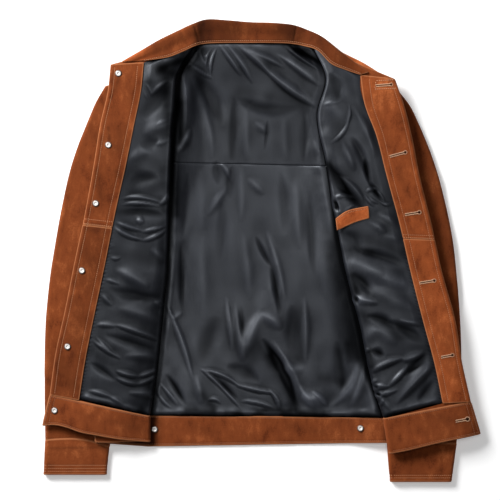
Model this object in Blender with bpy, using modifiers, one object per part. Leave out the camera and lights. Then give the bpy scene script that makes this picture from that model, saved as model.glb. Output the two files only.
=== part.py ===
"""Suede jacket with a satin lining, laid open on its back.

Both fronts are turned back over the body, so the lining, the facings and the inner side of the
waistband lie uppermost, and the sleeves lie straight down beneath the body.

Frame: X across the jacket, Y from hem to collar, Z up from the surface it lies on.
Tables and named sizes are in millimetres; meshes are made in metres.
"""
import math
from collections import namedtuple

import bmesh
import bpy
import numpy as np
from mathutils import Vector
from mathutils.bvhtree import BVHTree

MM = 0.001

# ---- cloth ----------------------------------------------------------------------------------
SUEDE = 1.6             # wall of a suede panel
BAND = 2.4              # waistband: two layers of suede sewn together
LINING = 1.0            # wall of the satin lining
SEAM = 0.3              # gap between pieces that are sewn together
PLY = 0.8               # air between plies that lie on each other
FOLD_AIR = 3.6          # air inside a turned-back front
FOLD_AIR_TOP = 1.2      # the same at the neck, where the collar holds the fold flat

# ---- sleeves and cuffs -----------------------------------------------------------------------
SLEEVE_WALL = 2.8       # suede with its lining
SLEEVE_HEIGHT = 9.4     # of the flattened tube
CUFF_WALL = 2.9
CUFF_HEIGHT = 9.6
SLEEVE_RAMP = 65.0      # across which the body comes down from a sleeve to the surface
SLEEVE_MARGIN = 6.0
ARMPIT_Y = 150.0        # above it the body comes down along a straight line
SHOULDER_RAMP = 75.0
OUTER_RAMP = 60.0       # the same beyond a sleeve's outer edge
FLAP_DROP = 6.5         # of a turned-back front beyond the side seam, where it hangs on its own
FLAP_START = 10.0
FLAP_RAMP = 60.0

# ---- collar ----------------------------------------------------------------------------------
LEAF_REACH = 30.0       # how far the folded leaf lifts the body, from the neck seam
LEAF_RAMP = 50.0
LEAF_FALL = 0.3         # share of the leaf's width where a raised outer edge has come down
LEAF_SAG = 0.2          # height left there, as a share of the edge's
ROLL_RADIUS = 6.0
ROLL_SHARE = 0.22       # the roll's radius is at most this share of the stand's width
TURN_UNDER = 4.0
SEAM_REACH = 5.0        # the neck seam clears what lies within this distance
NECK_RISE = 7.0         # of the back's neckline above its ends
NECK_PIECES = ("back_lining_upper", "front_lining_left", "front_lining_right",
               "facing_left_upper", "facing_right_upper")

# ---- waistband -------------------------------------------------------------------------------
BAND_DEPTHS = {"left": 48.0, "right": 39.0}     # of the back's band, at the front's folds

# ---- fastenings ------------------------------------------------------------------------------
TACK_RADIUS = 5.3
BUTTON_RADIUS = 8.5
BUTTON_HEIGHT = 2.0

# ---- mesh density ----------------------------------------------------------------------------
ROWS = 15               # cross-wise rows down the body
ROW_CROWDING = 1.3      # rows are closer together towards the neck
FINE = 2                # lining cells to a body cell
ARC_STEPS = 4           # of a fold's half circle
SIDE_KNOTS = (0.0, 0.22, 0.44, 0.62, 0.78, 1.0)     # from side seam to fold
BACK_CELLS = 10
LINING_CELLS = 8
FACING_CELLS = 3
WELT_CELLS = 5
RING_FLAT = 4           # cells across a flattened tube's top and bottom
RING_ROUND = 4          # and round each of its edges
TURNED_SIDES = 12

FrontRow = namedtuple(
    "FrontRow", "down fold_x fold_y border_x border_y edge_x edge_y side_x side_y")

# Down the body from neck (0) to waistband seam (1): the fold line, the seam of lining and
# facing, the front edge, and the armhole and side seam.
FRONTS = {
    "left": [FrontRow(*row) for row in (
        (0.00, -106, 330, -188, 299, -240, 296, -214, 284),
        (0.08, -132, 282, -192, 257, -244, 255, -236, 244),
        (0.18, -139, 223, -203, 202, -256, 202, -247, 202),
        (0.30, -144, 151, -216, 138, -266, 140, -258, 140),
        (0.45, -147, 63, -234, 57, -280, 62, -271, 65),
        (0.60, -150, -25, -250, -23, -297, -18, -284, -18),
        (0.75, -159, -114, -267, -104, -313, -98, -284, -108),
        (0.88, -167, -191, -281, -174, -328, -166, -278, -185),
        (1.00, -177, -264, -291, -238, -337, -230, -265, -257),
    )],
    "right": [FrontRow(*row) for row in (
        (0.00, 81, 326, 158, 279, 212, 273, 192, 264),
        (0.08, 102, 278, 164, 236, 226, 232, 212, 232),
        (0.18, 89, 217, 183, 184, 239, 180, 225, 196),
        (0.30, 102, 145, 199, 122, 251, 119, 241, 132),
        (0.45, 116, 58, 220, 44, 270, 42, 260, 55),
        (0.60, 134, -33, 238, -34, 287, -35, 276, -25),
        (0.75, 157, -122, 258, -113, 308, -112, 279, -114),
        (0.88, 172, -197, 276, -180, 319, -179, 282, -191),
        (1.00, 193, -267, 289, -243, 333, -241, 286, -262),
    )],
}

SleeveRow = namedtuple("SleeveRow", "y outer_x inner_x")

SLEEVES = {
    "left": [SleeveRow(*row) for row in (
        (263, -250, -220),
        (241, -263, -196),
        (202, -280, -169),
        (164, -295, -154),
        (126, -307, -154),
        (81, -317, -164),
        (17, -329, -178),
        (-47, -339, -191),
        (-111, -345, -204),
        (-175, -347, -216),
        (-239, -347, -230),
        (-302, -346, -242),
    )],
    "right": [SleeveRow(*row) for row in (
        (257, 218, 185),
        (234, 236, 162),
        (202, 252, 142),
        (164, 268, 129),
        (126, 281, 129),
        (81, 293, 138),
        (17, 306, 153),
        (-47, 313, 164),
        (-111, 318, 174),
        (-175, 320, 183),
        (-239, 318, 193),
        (-308, 312, 201),
    )],
}

CuffEnds = namedtuple("CuffEnds", "top_outer top_inner bottom_outer bottom_inner bottom_y")

CUFFS = {
    "left": CuffEnds(-346, -243, -348.5, -247, -358),
    "right": CuffEnds(312, 200, 304, 205, -369.5),
}

BandEnd = namedtuple("BandEnd", "fold_x fold_y corner_x corner_y")

# Lower edge of each turned-back waistband, at its fold and at its front corner.
BAND_BOTTOMS = {
    "left": BandEnd(-177, -304, -348.5, -279),
    "right": BandEnd(202, -322, 348.5, -292),
}

CollarRow = namedtuple(
    "CollarRow", "seam_x seam_y roll_x roll_y leaf_x leaf_y inner_x inner_y leaf_z")

# Round the collar: neck seam, roll line, the folded leaf's outer and inner edges, and the
# height of the leaf's outer edge.
COLLAR = [CollarRow(*row) for row in (
    (-185, 303, -223, 301, -215, 297, -194, 276, 7),
    (-167, 305, -192, 319, -189, 319, -169, 281, 4),
    (-146, 309, -165, 335, -162, 332, -143, 289, 2),
    (-124, 318, -135, 350, -132, 346, -119, 300, 1),
    (-105, 327, -110, 362, -108, 357, -102, 311, 0),
    (-87, 331, -87, 369.5, -87, 365, -86, 318, 0),
    (-54, 332, -54, 368, -54, 366, -54, 319, 0),
    (-18, 332, -18, 365, -18, 363, -18, 319, 0),
    (17, 332, 17, 364, 17, 362, 17, 319, 0),
    (46, 331, 49, 361, 48, 359, 46, 318, 0),
    (68, 327, 73, 353, 71, 351, 66, 311, 0),
    (90, 319, 97, 341, 96, 341, 86, 298, 1),
    (111, 298, 122, 321, 126, 318, 110, 279, 2),
    (134, 288, 145, 303, 163, 299, 135, 266, 5),
    (157, 280, 170, 284, 202, 274, 161, 255, 7),
)]

Fold = namedtuple("Fold", "start_x start_y end_x end_y bow half_width height")

# Largest folds of the lining: soft ridges (or troughs, where the height is negative) from
# start to end, bowed sideways at the middle.
BACK_FOLDS = [Fold(*row) for row in (
    (-60, 318, 84, 238, -6, 16, 3.6),
    (-26, 316, 92, 272, 4, 13, 2.6),
    (-92, 286, -58, 204, 4, 15, -1.0),
    (-112, 262, -120, 196, -6, 13, 3.0),
    (-28, 196, 90, 214, -14, 26, -1.0),
    (-40, 120, -48, -60, 6, 17, 2.2),
    (8, 120, 34, -110, -8, 18, 2.4),
    (66, 110, 64, -60, 4, 18, 1.8),
    (-128, 0, -112, -190, 6, 15, 2.6),
    (-96, -192, -30, -250, 5, 13, 4.0),
    (-24, -120, 50, -246, 8, 15, 3.6),
    (110, -246, 158, -176, -8, 13, 3.4),
)]

FRONT_FOLDS = {
    "left": [Fold(*row) for row in (
        (-186, 190, -148, 214, 4, 15, 2.4),
        (-208, 84, -150, 92, 9, 11, 3.0),
        (-232, 40, -152, 36, 13, 12, 3.4),
        (-232, -36, -170, -66, 5, 15, 2.6),
        (-262, -122, -172, -142, -3, 12, 2.6),
        (-228, -196, -166, -192, 9, 11, 3.0),
    )],
    "right": [Fold(*row) for row in (
        (126, 250, 176, 120, 6, 15, 2.2),
        (96, 226, 128, 170, -8, 15, 2.6),
        (144, -16, 232, -46, -4, 17, 3.2),
        (174, -116, 220, -138, -6, 14, 2.4),
        (186, -190, 256, -166, 8, 12, 3.0),
        (220, -240, 276, -178, 4, 14, 2.4),
    )],
}

YOKE_SEAM_DOWN = 0.318          # of the back lining's two pieces
FACING_SEAM_DOWN = {"left": 0.49, "right": 0.50}

FRONT_TACKS = ((-228, 282), (-244, 168), (-264, 75), (-286, -32), (-309, -153), (-330, -255))
BACK_TACKS = ((-171, -286), (158, -284))
BAND_TOP_Y = -240               # front fastenings below this are on the waistband

WELT_START = (121, 42)          # middle of the pocket welt's ends
WELT_END = (170, 61)
WELT_WIDTH = 18.0
WELT_BOW = 4.0
WELT_EASE = 4.0

# ---- heights of the plies above the body's underside -------------------------------------------
BACK_LINING_Z = SUEDE + PLY
TUCK_Z = BACK_LINING_Z + LINING + PLY
FRONT_Z = TUCK_Z + LINING + PLY
FOLD_TIP = PLY + LINING         # how far the lining stands out round the suede's fold

# ---- lining folds ------------------------------------------------------------------------------
FOLD_CLEAR = 4.0        # no fold this near a front's fold line
FOLD_EASE = 14.0        # and full height this much further on

COLLECTION = "suede_jacket"
Finish = namedtuple("Finish", "colour roughness metallic")
SUEDE_FINISH = Finish((0.262, 0.061, 0.019), 0.95, 0.0)
LINING_FINISH = Finish((0.045, 0.048, 0.054), 0.35, 0.0)
METAL_FINISH = Finish((0.72, 0.72, 0.72), 0.3, 1.0)

# Profiles of (radius, height), top to bottom.
TACK_PROFILE = ((0, 0.9), (1.8, 1.0), (2.6, 1.7), (4.4, 1.5), (TACK_RADIUS, 0.6),
                (TACK_RADIUS - 0.4, 0), (0, 0))
BUTTON_PROFILE = ((0, BUTTON_HEIGHT), (5.0, BUTTON_HEIGHT), (BUTTON_RADIUS, BUTTON_HEIGHT - 0.7),
                  (BUTTON_RADIUS, 0.7), (5.5, 0), (0, 0))


def smooth(t):
    """Soft step from 0 to 1."""
    t = min(max(t, 0.0), 1.0)
    return t * t * (3 - 2 * t)


def blend(a, b, t):
    return a + (b - a) * t


def curve_value(stations, values, t):
    """Value at t on a smooth curve through the values at the stations."""
    stations = np.asarray(stations, float)
    values = np.asarray(values, float)
    if stations[0] > stations[-1]:
        stations, values = stations[::-1], values[::-1]
    t = min(max(t, stations[0]), stations[-1])
    i = int(min(np.searchsorted(stations, t, side="right") - 1, len(stations) - 2))
    slopes = np.gradient(values, stations)
    span = stations[i + 1] - stations[i]
    u = (t - stations[i]) / span
    return ((2 * u**3 - 3 * u**2 + 1) * values[i] + (u**3 - 2 * u**2 + u) * span * slopes[i]
            + (3 * u**2 - 2 * u**3) * values[i + 1] + (u**3 - u**2) * span * slopes[i + 1])


def read(rows, station, column, t):
    """A table's column, at a place along its station column."""
    return curve_value([getattr(row, station) for row in rows],
                       [getattr(row, column) for row in rows], t)


def front_point(side, name, down):
    rows = FRONTS[side]
    return np.array((read(rows, "down", name + "_x", down), read(rows, "down", name + "_y", down)))


def side_of(x):
    return "left" if x < 0 else "right"


def inward(side):
    """Direction along X from a side of the jacket to its middle."""
    return 1 if side == "left" else -1


def neck_distance(x, y):
    """Distance in plan from the collar's seam."""
    point = np.array((x, y), float)
    best = math.inf
    for a, b in zip(COLLAR, COLLAR[1:]):
        start = np.array((a.seam_x, a.seam_y), float)
        step = np.array((b.seam_x, b.seam_y), float) - start
        t = np.clip(np.dot(point - start, step) / np.dot(step, step), 0, 1)
        best = min(best, float(np.linalg.norm(point - start - t * step)))
    return best


def lift(x, y):
    """Height of the body's underside: over the sleeves at the sides, over the collar's leaf at
    the neck, and on the surface in the middle."""
    side = side_of(x)
    rows = SLEEVES[side]
    inner = read(rows, "y", "inner_x", min(y, ARMPIT_Y))
    within = (x - inner) * inward(side) - SLEEVE_MARGIN
    beyond = (read(rows, "y", "outer_x", y) - x) * inward(side) - SLEEVE_MARGIN
    above = y - rows[0].y - SLEEVE_MARGIN
    sleeve = SLEEVE_HEIGHT + PLY
    for distance, ramp in ((within, SLEEVE_RAMP), (beyond, OUTER_RAMP), (above, SHOULDER_RAMP)):
        sleeve *= 1 - smooth(distance / ramp)
    leaf = (SUEDE + PLY) * (1 - smooth((neck_distance(x, y) - LEAF_REACH) / LEAF_RAMP))
    return sleeve + leaf


def fold_air(down):
    return blend(FOLD_AIR_TOP, FOLD_AIR, smooth(down / 0.12))


def front_top(down):
    """Height of the turned-back suede above the body's underside."""
    return FRONT_Z + 2 * SUEDE + fold_air(down)


def row_stations():
    return [(i / ROWS) ** ROW_CROWDING for i in range(ROWS + 1)]


def fold_centre(side, down):
    """Middle of a front's fold: the lining's outermost line is the fold line."""
    radius = (front_top(down) - FRONT_Z) / 2 + FOLD_TIP
    point = front_point(side, "fold", down)
    return point - np.array((inward(side) * radius, 0.0))


def ridge(fold, x, y):
    """Height that one fold adds at a point."""
    start = np.array((fold.start_x, fold.start_y), float)
    along = np.array((fold.end_x, fold.end_y), float) - start
    length = np.linalg.norm(along)
    along /= length
    offset = np.array((x, y), float) - start
    t = float(np.dot(offset, along)) / length
    across = float(offset[1] * along[0] - offset[0] * along[1])
    across -= fold.bow * (1 - (2 * t - 1) ** 2) if 0 < t < 1 else 0
    ends = smooth(t / 0.3) * smooth((1 - t) / 0.3)
    return fold.height * ends * math.exp(-(across / fold.half_width) ** 2 * 2)


def folds_height(folds, x, y):
    """Height that the folds add together. A trough only takes away from a ridge that it meets."""
    return max(0.0, sum(ridge(fold, x, y) for fold in folds))


# ---- grids: arrays of rows and columns of points, in millimetres ---------------------------------

def side_columns(side, down, knots):
    """Plan points from the side seam to the fold's centre."""
    start = front_point(side, "side", down)
    end = fold_centre(side, down)
    return [blend(start, end, knot) for knot in knots]


def back_grid(height, knots):
    """Rows across the back, from knot to knot of the sides, at a height over the underside."""
    rows = []
    for down in row_stations():
        left = side_columns("left", down, knots)
        right = side_columns("right", down, knots)
        middle = []
        for k in range(1, BACK_CELLS):
            t = k / BACK_CELLS
            point = blend(left[-1], right[-1], t)
            point[1] += NECK_RISE * (1 - smooth(down / 0.1)) * math.sqrt(math.sin(math.pi * t))
            middle.append(point)
        points = left + middle + right[::-1]
        rows.append([(x, y, lift(x, y) + height) for x, y in points])
    return np.array(rows)


def front_section(side, down, stand_out):
    """A front's row from its side seam, round the fold, to its front edge. stand_out is the
    distance of the surface outside the suede's outer face."""
    top = front_top(down)
    radius = (top - FRONT_Z) / 2
    lower = side_columns(side, down, SIDE_KNOTS)
    centre = lower[-1]
    middle_z = lift(*centre) + FRONT_Z + radius
    points = [(x, y, lift(x, y) + FRONT_Z - stand_out) for x, y in lower]
    for k in range(1, ARC_STEPS):
        angle = -math.pi / 2 + math.pi * k / ARC_STEPS
        reach = (radius + stand_out) * math.cos(angle)
        rise = (radius + stand_out) * math.sin(angle)
        points.append((centre[0] + inward(side) * reach, centre[1], middle_z + rise))
    border = front_point(side, "border", down)
    edge = front_point(side, "edge", down)
    upper = [blend(centre, border, k / LINING_CELLS) for k in range(LINING_CELLS)]
    upper += [blend(border, edge, k / FACING_CELLS) for k in range(FACING_CELLS + 1)]
    for x, y in upper:
        overhang = (lower[0][0] - x) * inward(side) - FLAP_START
        hanging = FLAP_DROP * smooth(overhang / FLAP_RAMP)
        points.append((x, y, lift(x, y) + top + stand_out - hanging))
    return points


def front_grid(side, stand_out):
    return np.array([front_section(side, down, stand_out) for down in row_stations()])


def split_rows(grid):
    """Finer grid with new rows half-way between its rows."""
    finer = np.repeat(grid, FINE, axis=0)[:1 - FINE]
    for k in range(1, FINE):
        finer[k::FINE] = blend(grid[:-1], grid[1:], k / FINE)
    return finer


def split_cells(grid):
    """Finer grid on the same facets, both ways. Each cell's facets meet on the diagonal from
    its first point to its last."""
    finer = split_rows(split_rows(grid).transpose(1, 0, 2)).transpose(1, 0, 2)
    finer[1::2, 1::2] = blend(grid[:-1, :-1], grid[1:, 1:], 0.5)
    return finer


def cut_rows(grid, down):
    """Both parts of a grid of body rows, cut at a place down the body."""
    stations = row_stations()
    i = next(k for k, station in enumerate(stations) if station > down)
    t = (down - stations[i - 1]) / (stations[i] - stations[i - 1])
    row = blend(grid[i - 1], grid[i], t)[None]
    return np.concatenate([grid[:i], row]), np.concatenate([row, grid[i:]])


def set_back(grid, first_row=False, last_row=False, first_column=False, last_column=False):
    """Move a grid's outer rows or columns inwards by a seam's gap."""
    grid = grid.copy()
    for wanted, line, neighbour in ((first_row, grid[0], grid[1]), (last_row, grid[-1], grid[-2]),
                                    (first_column, grid[:, 0], grid[:, 1]),
                                    (last_column, grid[:, -1], grid[:, -2])):
        if wanted:
            step = neighbour - line
            line += step * (SEAM / np.linalg.norm(step, axis=1))[:, None]
    return grid


# ---- Blender objects -------------------------------------------------------------------------------

def clear_scene():
    for old in list(bpy.data.objects):
        bpy.data.objects.remove(old, do_unlink=True)
    collection = bpy.data.collections.new(COLLECTION)
    bpy.context.scene.collection.children.link(collection)
    return collection


def add_material(obj, finish):
    material = bpy.data.materials.new(obj.name)
    material.use_nodes = True
    shader = material.node_tree.nodes["Principled BSDF"]
    shader.inputs["Base Color"].default_value = (*finish.colour, 1)
    shader.inputs["Roughness"].default_value = finish.roughness
    shader.inputs["Metallic"].default_value = finish.metallic
    obj.data.materials.append(material)


def cloth(collection, name, grid, wall, grow, finish, closed=False):
    """A wall of cloth on a grid of points: an open surface with Solidify. grow is 1 where the
    wall grows along the surface's normals and -1 where it grows against them. A closed grid is
    a tube: its last column joins its first."""
    rows, columns = grid.shape[:2]
    surface = bmesh.new()
    points = [[surface.verts.new(Vector(point) * MM) for point in row] for row in grid]
    for i in range(rows - 1):
        for j in range(columns if closed else columns - 1):
            k = (j + 1) % columns
            surface.faces.new((points[i][j], points[i + 1][j], points[i + 1][k]))
            surface.faces.new((points[i][j], points[i + 1][k], points[i][k]))
    mesh = bpy.data.meshes.new(name)
    surface.to_mesh(mesh)
    surface.free()
    mesh.shade_smooth()
    obj = bpy.data.objects.new(name, mesh)
    collection.objects.link(obj)
    solid = obj.modifiers.new("wall", "SOLIDIFY")
    solid.thickness = wall * MM
    solid.offset = grow
    solid.use_even_offset = True
    add_material(obj, finish)


def turned(collection, name, profile, place, finish):
    """Turned piece from a profile of (radius, height), top to bottom, set at a place."""
    mesh = bpy.data.meshes.new(name)
    points = [(radius * MM, 0, height * MM) for radius, height in profile]
    mesh.from_pydata(points, [(k, k + 1) for k in range(len(points) - 1)], [])
    obj = bpy.data.objects.new(name, mesh)
    collection.objects.link(obj)
    obj.location = Vector(place) * MM
    screw = obj.modifiers.new("turn", "SCREW")
    screw.steps = TURNED_SIDES
    screw.render_steps = TURNED_SIDES
    screw.use_merge_vertices = True
    screw.merge_threshold = 0.00001
    add_material(obj, finish)


def tops(names, x, y, reach):
    """Heights of the named pieces' upper faces at a place and within reach of it."""
    depsgraph = bpy.context.evaluated_depsgraph_get()
    levels = []
    for name in names:
        tree = BVHTree.FromObject(bpy.data.objects[name], depsgraph)
        for dx, dy in ((0, 0), (1, 0), (-1, 0), (0, 1), (0, -1)):
            start = Vector(((x + dx * reach) * MM, (y + dy * reach) * MM, 1))
            place = tree.ray_cast(start, Vector((0, 0, -1)))[0]
            if place is not None:
                levels.append(place.z / MM)
    return levels


# ---- the pieces --------------------------------------------------------------------------------------

def make_back(collection):
    body = set_back(back_grid(0.0, SIDE_KNOTS), last_row=True)
    cloth(collection, "back_outer", body, SUEDE, 1, SUEDE_FINISH)
    lining = back_grid(BACK_LINING_Z, SIDE_KNOTS[-2:])
    upper, lower = cut_rows(lining, YOKE_SEAM_DOWN)
    for name, coarse in (("upper", upper), ("lower", lower)):
        grid = set_back(back_lining_grid(coarse), first_row=name == "lower", last_row=True)
        cloth(collection, "back_lining_" + name, grid, LINING, 1, LINING_FINISH)


def back_lining_grid(coarse):
    """The lining's finer cells, with its folds."""
    grid = split_cells(coarse)
    for row in grid:
        low, high = row[FINE][0], row[-1 - FINE][0]
        for point in row:
            inside = min(point[0] - low, high - point[0])
            free = smooth((inside - FOLD_CLEAR) / FOLD_EASE)
            point[2] += free * folds_height(BACK_FOLDS, point[0], point[1])
    return grid


def make_front(collection, side):
    inside = inward(side)
    lower_end = len(SIDE_KNOTS) - 1
    upper_start = lower_end + ARC_STEPS
    border = upper_start + LINING_CELLS
    suede = front_grid(side, 0.0)
    cloth(collection, "front_outer_" + side, set_back(suede, last_row=True), SUEDE, inside,
          SUEDE_FINISH)

    lining = split_rows(front_grid(side, PLY)[:, lower_end:border + 1])
    for row in lining:
        fold_x = inside * max(inside * row[:, 0])
        for point in row[ARC_STEPS:]:
            free = smooth((inside * (fold_x - point[0]) - FOLD_CLEAR) / FOLD_EASE)
            free *= smooth(inside * (point[0] - row[-1][0]) / FOLD_EASE)
            point[2] += free * folds_height(FRONT_FOLDS[side], point[0], point[1])
    lining = set_back(lining, last_row=True, last_column=True)
    cloth(collection, "front_lining_" + side, lining, LINING, -inside, LINING_FINISH)

    facing = suede[:, border:] + np.array((0, 0, SEAM))
    for name, grid in zip(("upper", "lower"), cut_rows(facing, FACING_SEAM_DOWN[side])):
        grid = set_back(grid, first_row=name == "lower", last_row=True, first_column=True)
        cloth(collection, "facing_%s_%s" % (side, name), grid, SUEDE, -inside, SUEDE_FINISH)


def band_depth(x):
    """Depth of the waistband at the back: it varies evenly from fold to fold."""
    left, right = front_point("left", "fold", 1.0)[0], front_point("right", "fold", 1.0)[0]
    share = min(max((x - left) / (right - left), 0), 1)
    return blend(BAND_DEPTHS["left"], BAND_DEPTHS["right"], share)


def make_back_band(collection):
    top = back_grid(0.0, SIDE_KNOTS)[-1]
    rows = []
    for share in (0.0, 0.5, 1.0):
        places = [(x, y - share * band_depth(x)) for x, y, _ in top]
        rows.append([(x, y, lift(x, y)) for x, y in places])
    grid = set_back(np.array(rows), first_row=True)
    cloth(collection, "hem_band_back", grid, BAND, 1, SUEDE_FINISH)


def make_front_band(collection, side):
    """The waistband's end: it goes round the fold with the front."""
    top = np.array(front_section(side, 1.0, BAND - SUEDE))
    lower_end = len(SIDE_KNOTS) - 1
    upper_start = lower_end + ARC_STEPS
    ends = BAND_BOTTOMS[side]
    side_shift = np.array((0.0, -BAND_DEPTHS[side]))
    fold_shift = np.array((ends.fold_x, ends.fold_y)) - front_point(side, "fold", 1.0)
    edge_shift = np.array((ends.corner_x, ends.corner_y)) - front_point(side, "edge", 1.0)
    reach = top[-1][0] - top[upper_start][0]
    bottom = top.copy()
    for j, point in enumerate(bottom):
        rise = point[2] - lift(point[0], point[1])
        if j < upper_start:
            point[:2] += blend(side_shift, fold_shift, smooth(j / lower_end))
        else:
            point[:2] += blend(fold_shift, edge_shift, (point[0] - top[upper_start][0]) / reach)
        point[2] = lift(point[0], point[1]) + rise
    grid = set_back(np.array((top, blend(top, bottom, 0.5), bottom)), first_row=True)
    cloth(collection, "hem_band_" + side, grid, BAND, inward(side), SUEDE_FINISH)


def tube_ring(y, outer_x, inner_x, height):
    """Section of a flattened tube that rests on the surface."""
    low, high = min(outer_x, inner_x), max(outer_x, inner_x)
    radius = height / 2
    ring = []
    for centre, start, other in ((low + radius, math.pi / 2, high - radius),
                                 (high - radius, -math.pi / 2, low + radius)):
        for k in range(RING_ROUND):
            angle = start + math.pi * k / RING_ROUND
            ring.append((centre + radius * math.cos(angle), y, radius + radius * math.sin(angle)))
        level = radius + radius * math.sin(start + math.pi)
        for k in range(RING_FLAT):
            ring.append((blend(centre, other, k / RING_FLAT), y, level))
    return ring


def make_sleeve(collection, side):
    rows = SLEEVES[side]
    grid = np.array([tube_ring(row.y, row.outer_x, row.inner_x, SLEEVE_HEIGHT) for row in rows])
    cloth(collection, "sleeve_" + side, grid, SLEEVE_WALL, 1, SUEDE_FINISH, closed=True)
    ends = CUFFS[side]
    cuff = [tube_ring(blend(rows[-1].y - SEAM, ends.bottom_y, t),
                      blend(ends.top_outer, ends.bottom_outer, t),
                      blend(ends.top_inner, ends.bottom_inner, t), CUFF_HEIGHT)
            for t in (0.0, 0.5, 1.0)]
    cloth(collection, "cuff_" + side, np.array(cuff), CUFF_WALL, 1, SUEDE_FINISH, closed=True)


def make_collar(collection):
    stand = []
    leaf = []
    for i, row in enumerate(COLLAR):
        under = [seam_level(row, COLLAR[k]) for k in (max(i - 1, 0), min(i + 1, len(COLLAR) - 1))]
        stand.append(stand_section(row, max(under) + 2 * SEAM))
        outer = np.array((row.leaf_x, row.leaf_y, row.leaf_z), float)
        inner = np.array((row.inner_x, row.inner_y, 0.0))
        fallen = blend(outer, inner, LEAF_FALL)
        fallen[2] = LEAF_SAG * row.leaf_z
        leaf.append([outer, fallen, inner])
    cloth(collection, "collar_stand", np.array(stand), SUEDE, -1, SUEDE_FINISH)
    cloth(collection, "collar_leaf", np.array(leaf), SUEDE, -1, SUEDE_FINISH)


def seam_level(row, neighbour):
    """Height of the plies under the neck seam, from a station half-way to its neighbour."""
    levels = []
    for t in (0.0, 0.25, 0.5):
        x = blend(row.seam_x, neighbour.seam_x, t)
        y = blend(row.seam_y, neighbour.seam_y, t)
        levels += tops(NECK_PIECES, x, y, SEAM_REACH)
    return max(levels)


def stand_section(row, level):
    """From the neck seam up to the roll line, round it and a little way under."""
    seam = np.array((row.seam_x, row.seam_y), float)
    roll = np.array((row.roll_x, row.roll_y), float)
    width = np.linalg.norm(roll - seam)
    out = (roll - seam) / width
    top = level + SUEDE
    radius = min(ROLL_RADIUS, ROLL_SHARE * width, (top - row.leaf_z - SUEDE - SEAM) / 2)
    centre = roll - out * radius
    points = [(*blend(seam, centre, t), top) for t in (0.0, 0.35, 0.7)]
    for k in range(ARC_STEPS + 1):
        angle = math.pi / 2 - math.pi * k / ARC_STEPS
        place = centre + out * radius * math.cos(angle)
        points.append((*place, top - radius + radius * math.sin(angle)))
    points.append((*(centre - out * TURN_UNDER), top - 2 * radius))
    return points


def make_welt(collection):
    """The pocket's strip of suede, on the right front lining."""
    start, end = np.array(WELT_START, float), np.array(WELT_END, float)
    along = (end - start) / np.linalg.norm(end - start)
    across = np.array((-along[1], along[0]))
    rows = []
    for i in range(WELT_CELLS + 1):
        t = i / WELT_CELLS
        middle = blend(start, end, t) + across * WELT_BOW * (1 - (2 * t - 1) ** 2)
        row = []
        for v in (-0.5, 0.0, 0.5):
            x, y = middle + across * WELT_WIDTH * v
            row.append((x, y, max(tops(["front_lining_right"], x, y, WELT_EASE)) + SEAM))
        rows.append(row)
    cloth(collection, "pocket_welt", np.array(rows), SUEDE, 1, SUEDE_FINISH)


def make_fastenings(collection):
    facings = ["facing_left_upper", "facing_left_lower", "hem_band_left"]
    for i, (x, y) in enumerate(FRONT_TACKS):
        level = max(tops(facings, x, y, TACK_RADIUS)) + SEAM
        turned(collection, "tack_%d" % (i + 1), TACK_PROFILE, (x, y, level), METAL_FINISH)
        plies = ["front_outer_left"] if y > BAND_TOP_Y else ["hem_band_left"]
        wall = SUEDE if y > BAND_TOP_Y else BAND
        level = min(tops(plies, x, y, BUTTON_RADIUS)) - wall - SEAM - BUTTON_HEIGHT
        turned(collection, "button_%d" % (i + 1), BUTTON_PROFILE, (x, y, level), METAL_FINISH)
    for i, (x, y) in enumerate(BACK_TACKS, len(FRONT_TACKS)):
        level = max(tops(["hem_band_back"], x, y, TACK_RADIUS)) + SEAM
        turned(collection, "tack_%d" % (i + 1), TACK_PROFILE, (x, y, level), METAL_FINISH)


def main():
    collection = clear_scene()
    make_back(collection)
    make_back_band(collection)
    for side in FRONTS:
        make_sleeve(collection, side)
        make_front(collection, side)
        make_front_band(collection, side)
    make_collar(collection)
    make_welt(collection)
    make_fastenings(collection)


main()
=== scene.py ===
"""Looks of the suede jacket: fine cloth shells, folds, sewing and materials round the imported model.

Frame: X across the jacket, Y from hem to collar, Z up. Tables and named sizes are in millimetres
and meshes are made in metres. "left" and "right" are the viewer's. Tables whose columns end in
_px and _py give places in steps of the camera's frame, which is 500 steps across and sees 800 mm
of the surface.
"""

import math
from collections import namedtuple

import bpy
import numpy as np
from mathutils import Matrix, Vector
from mathutils.bvhtree import BVHTree


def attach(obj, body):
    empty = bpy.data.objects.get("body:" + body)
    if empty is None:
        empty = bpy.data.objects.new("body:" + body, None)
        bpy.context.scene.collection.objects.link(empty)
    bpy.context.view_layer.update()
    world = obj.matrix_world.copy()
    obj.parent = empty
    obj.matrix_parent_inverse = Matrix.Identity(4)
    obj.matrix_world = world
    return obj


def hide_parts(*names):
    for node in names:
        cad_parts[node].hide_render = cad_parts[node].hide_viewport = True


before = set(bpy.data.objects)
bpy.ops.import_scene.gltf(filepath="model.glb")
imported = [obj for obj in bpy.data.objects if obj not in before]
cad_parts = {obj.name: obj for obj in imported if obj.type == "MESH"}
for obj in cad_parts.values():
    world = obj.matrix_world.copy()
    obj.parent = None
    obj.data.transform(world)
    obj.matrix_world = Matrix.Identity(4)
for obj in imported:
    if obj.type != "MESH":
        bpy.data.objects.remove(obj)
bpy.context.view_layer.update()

MM = 0.001
PX = 1.6                    # millimetres on the surface to a step of the camera's frame
PX_ZERO = (261.5, 250.5)    # step at which X and Y are zero


def table(kind, *rows):
    """Rows of a table, each as the named kind."""
    return [kind(*row) for row in rows]


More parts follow.
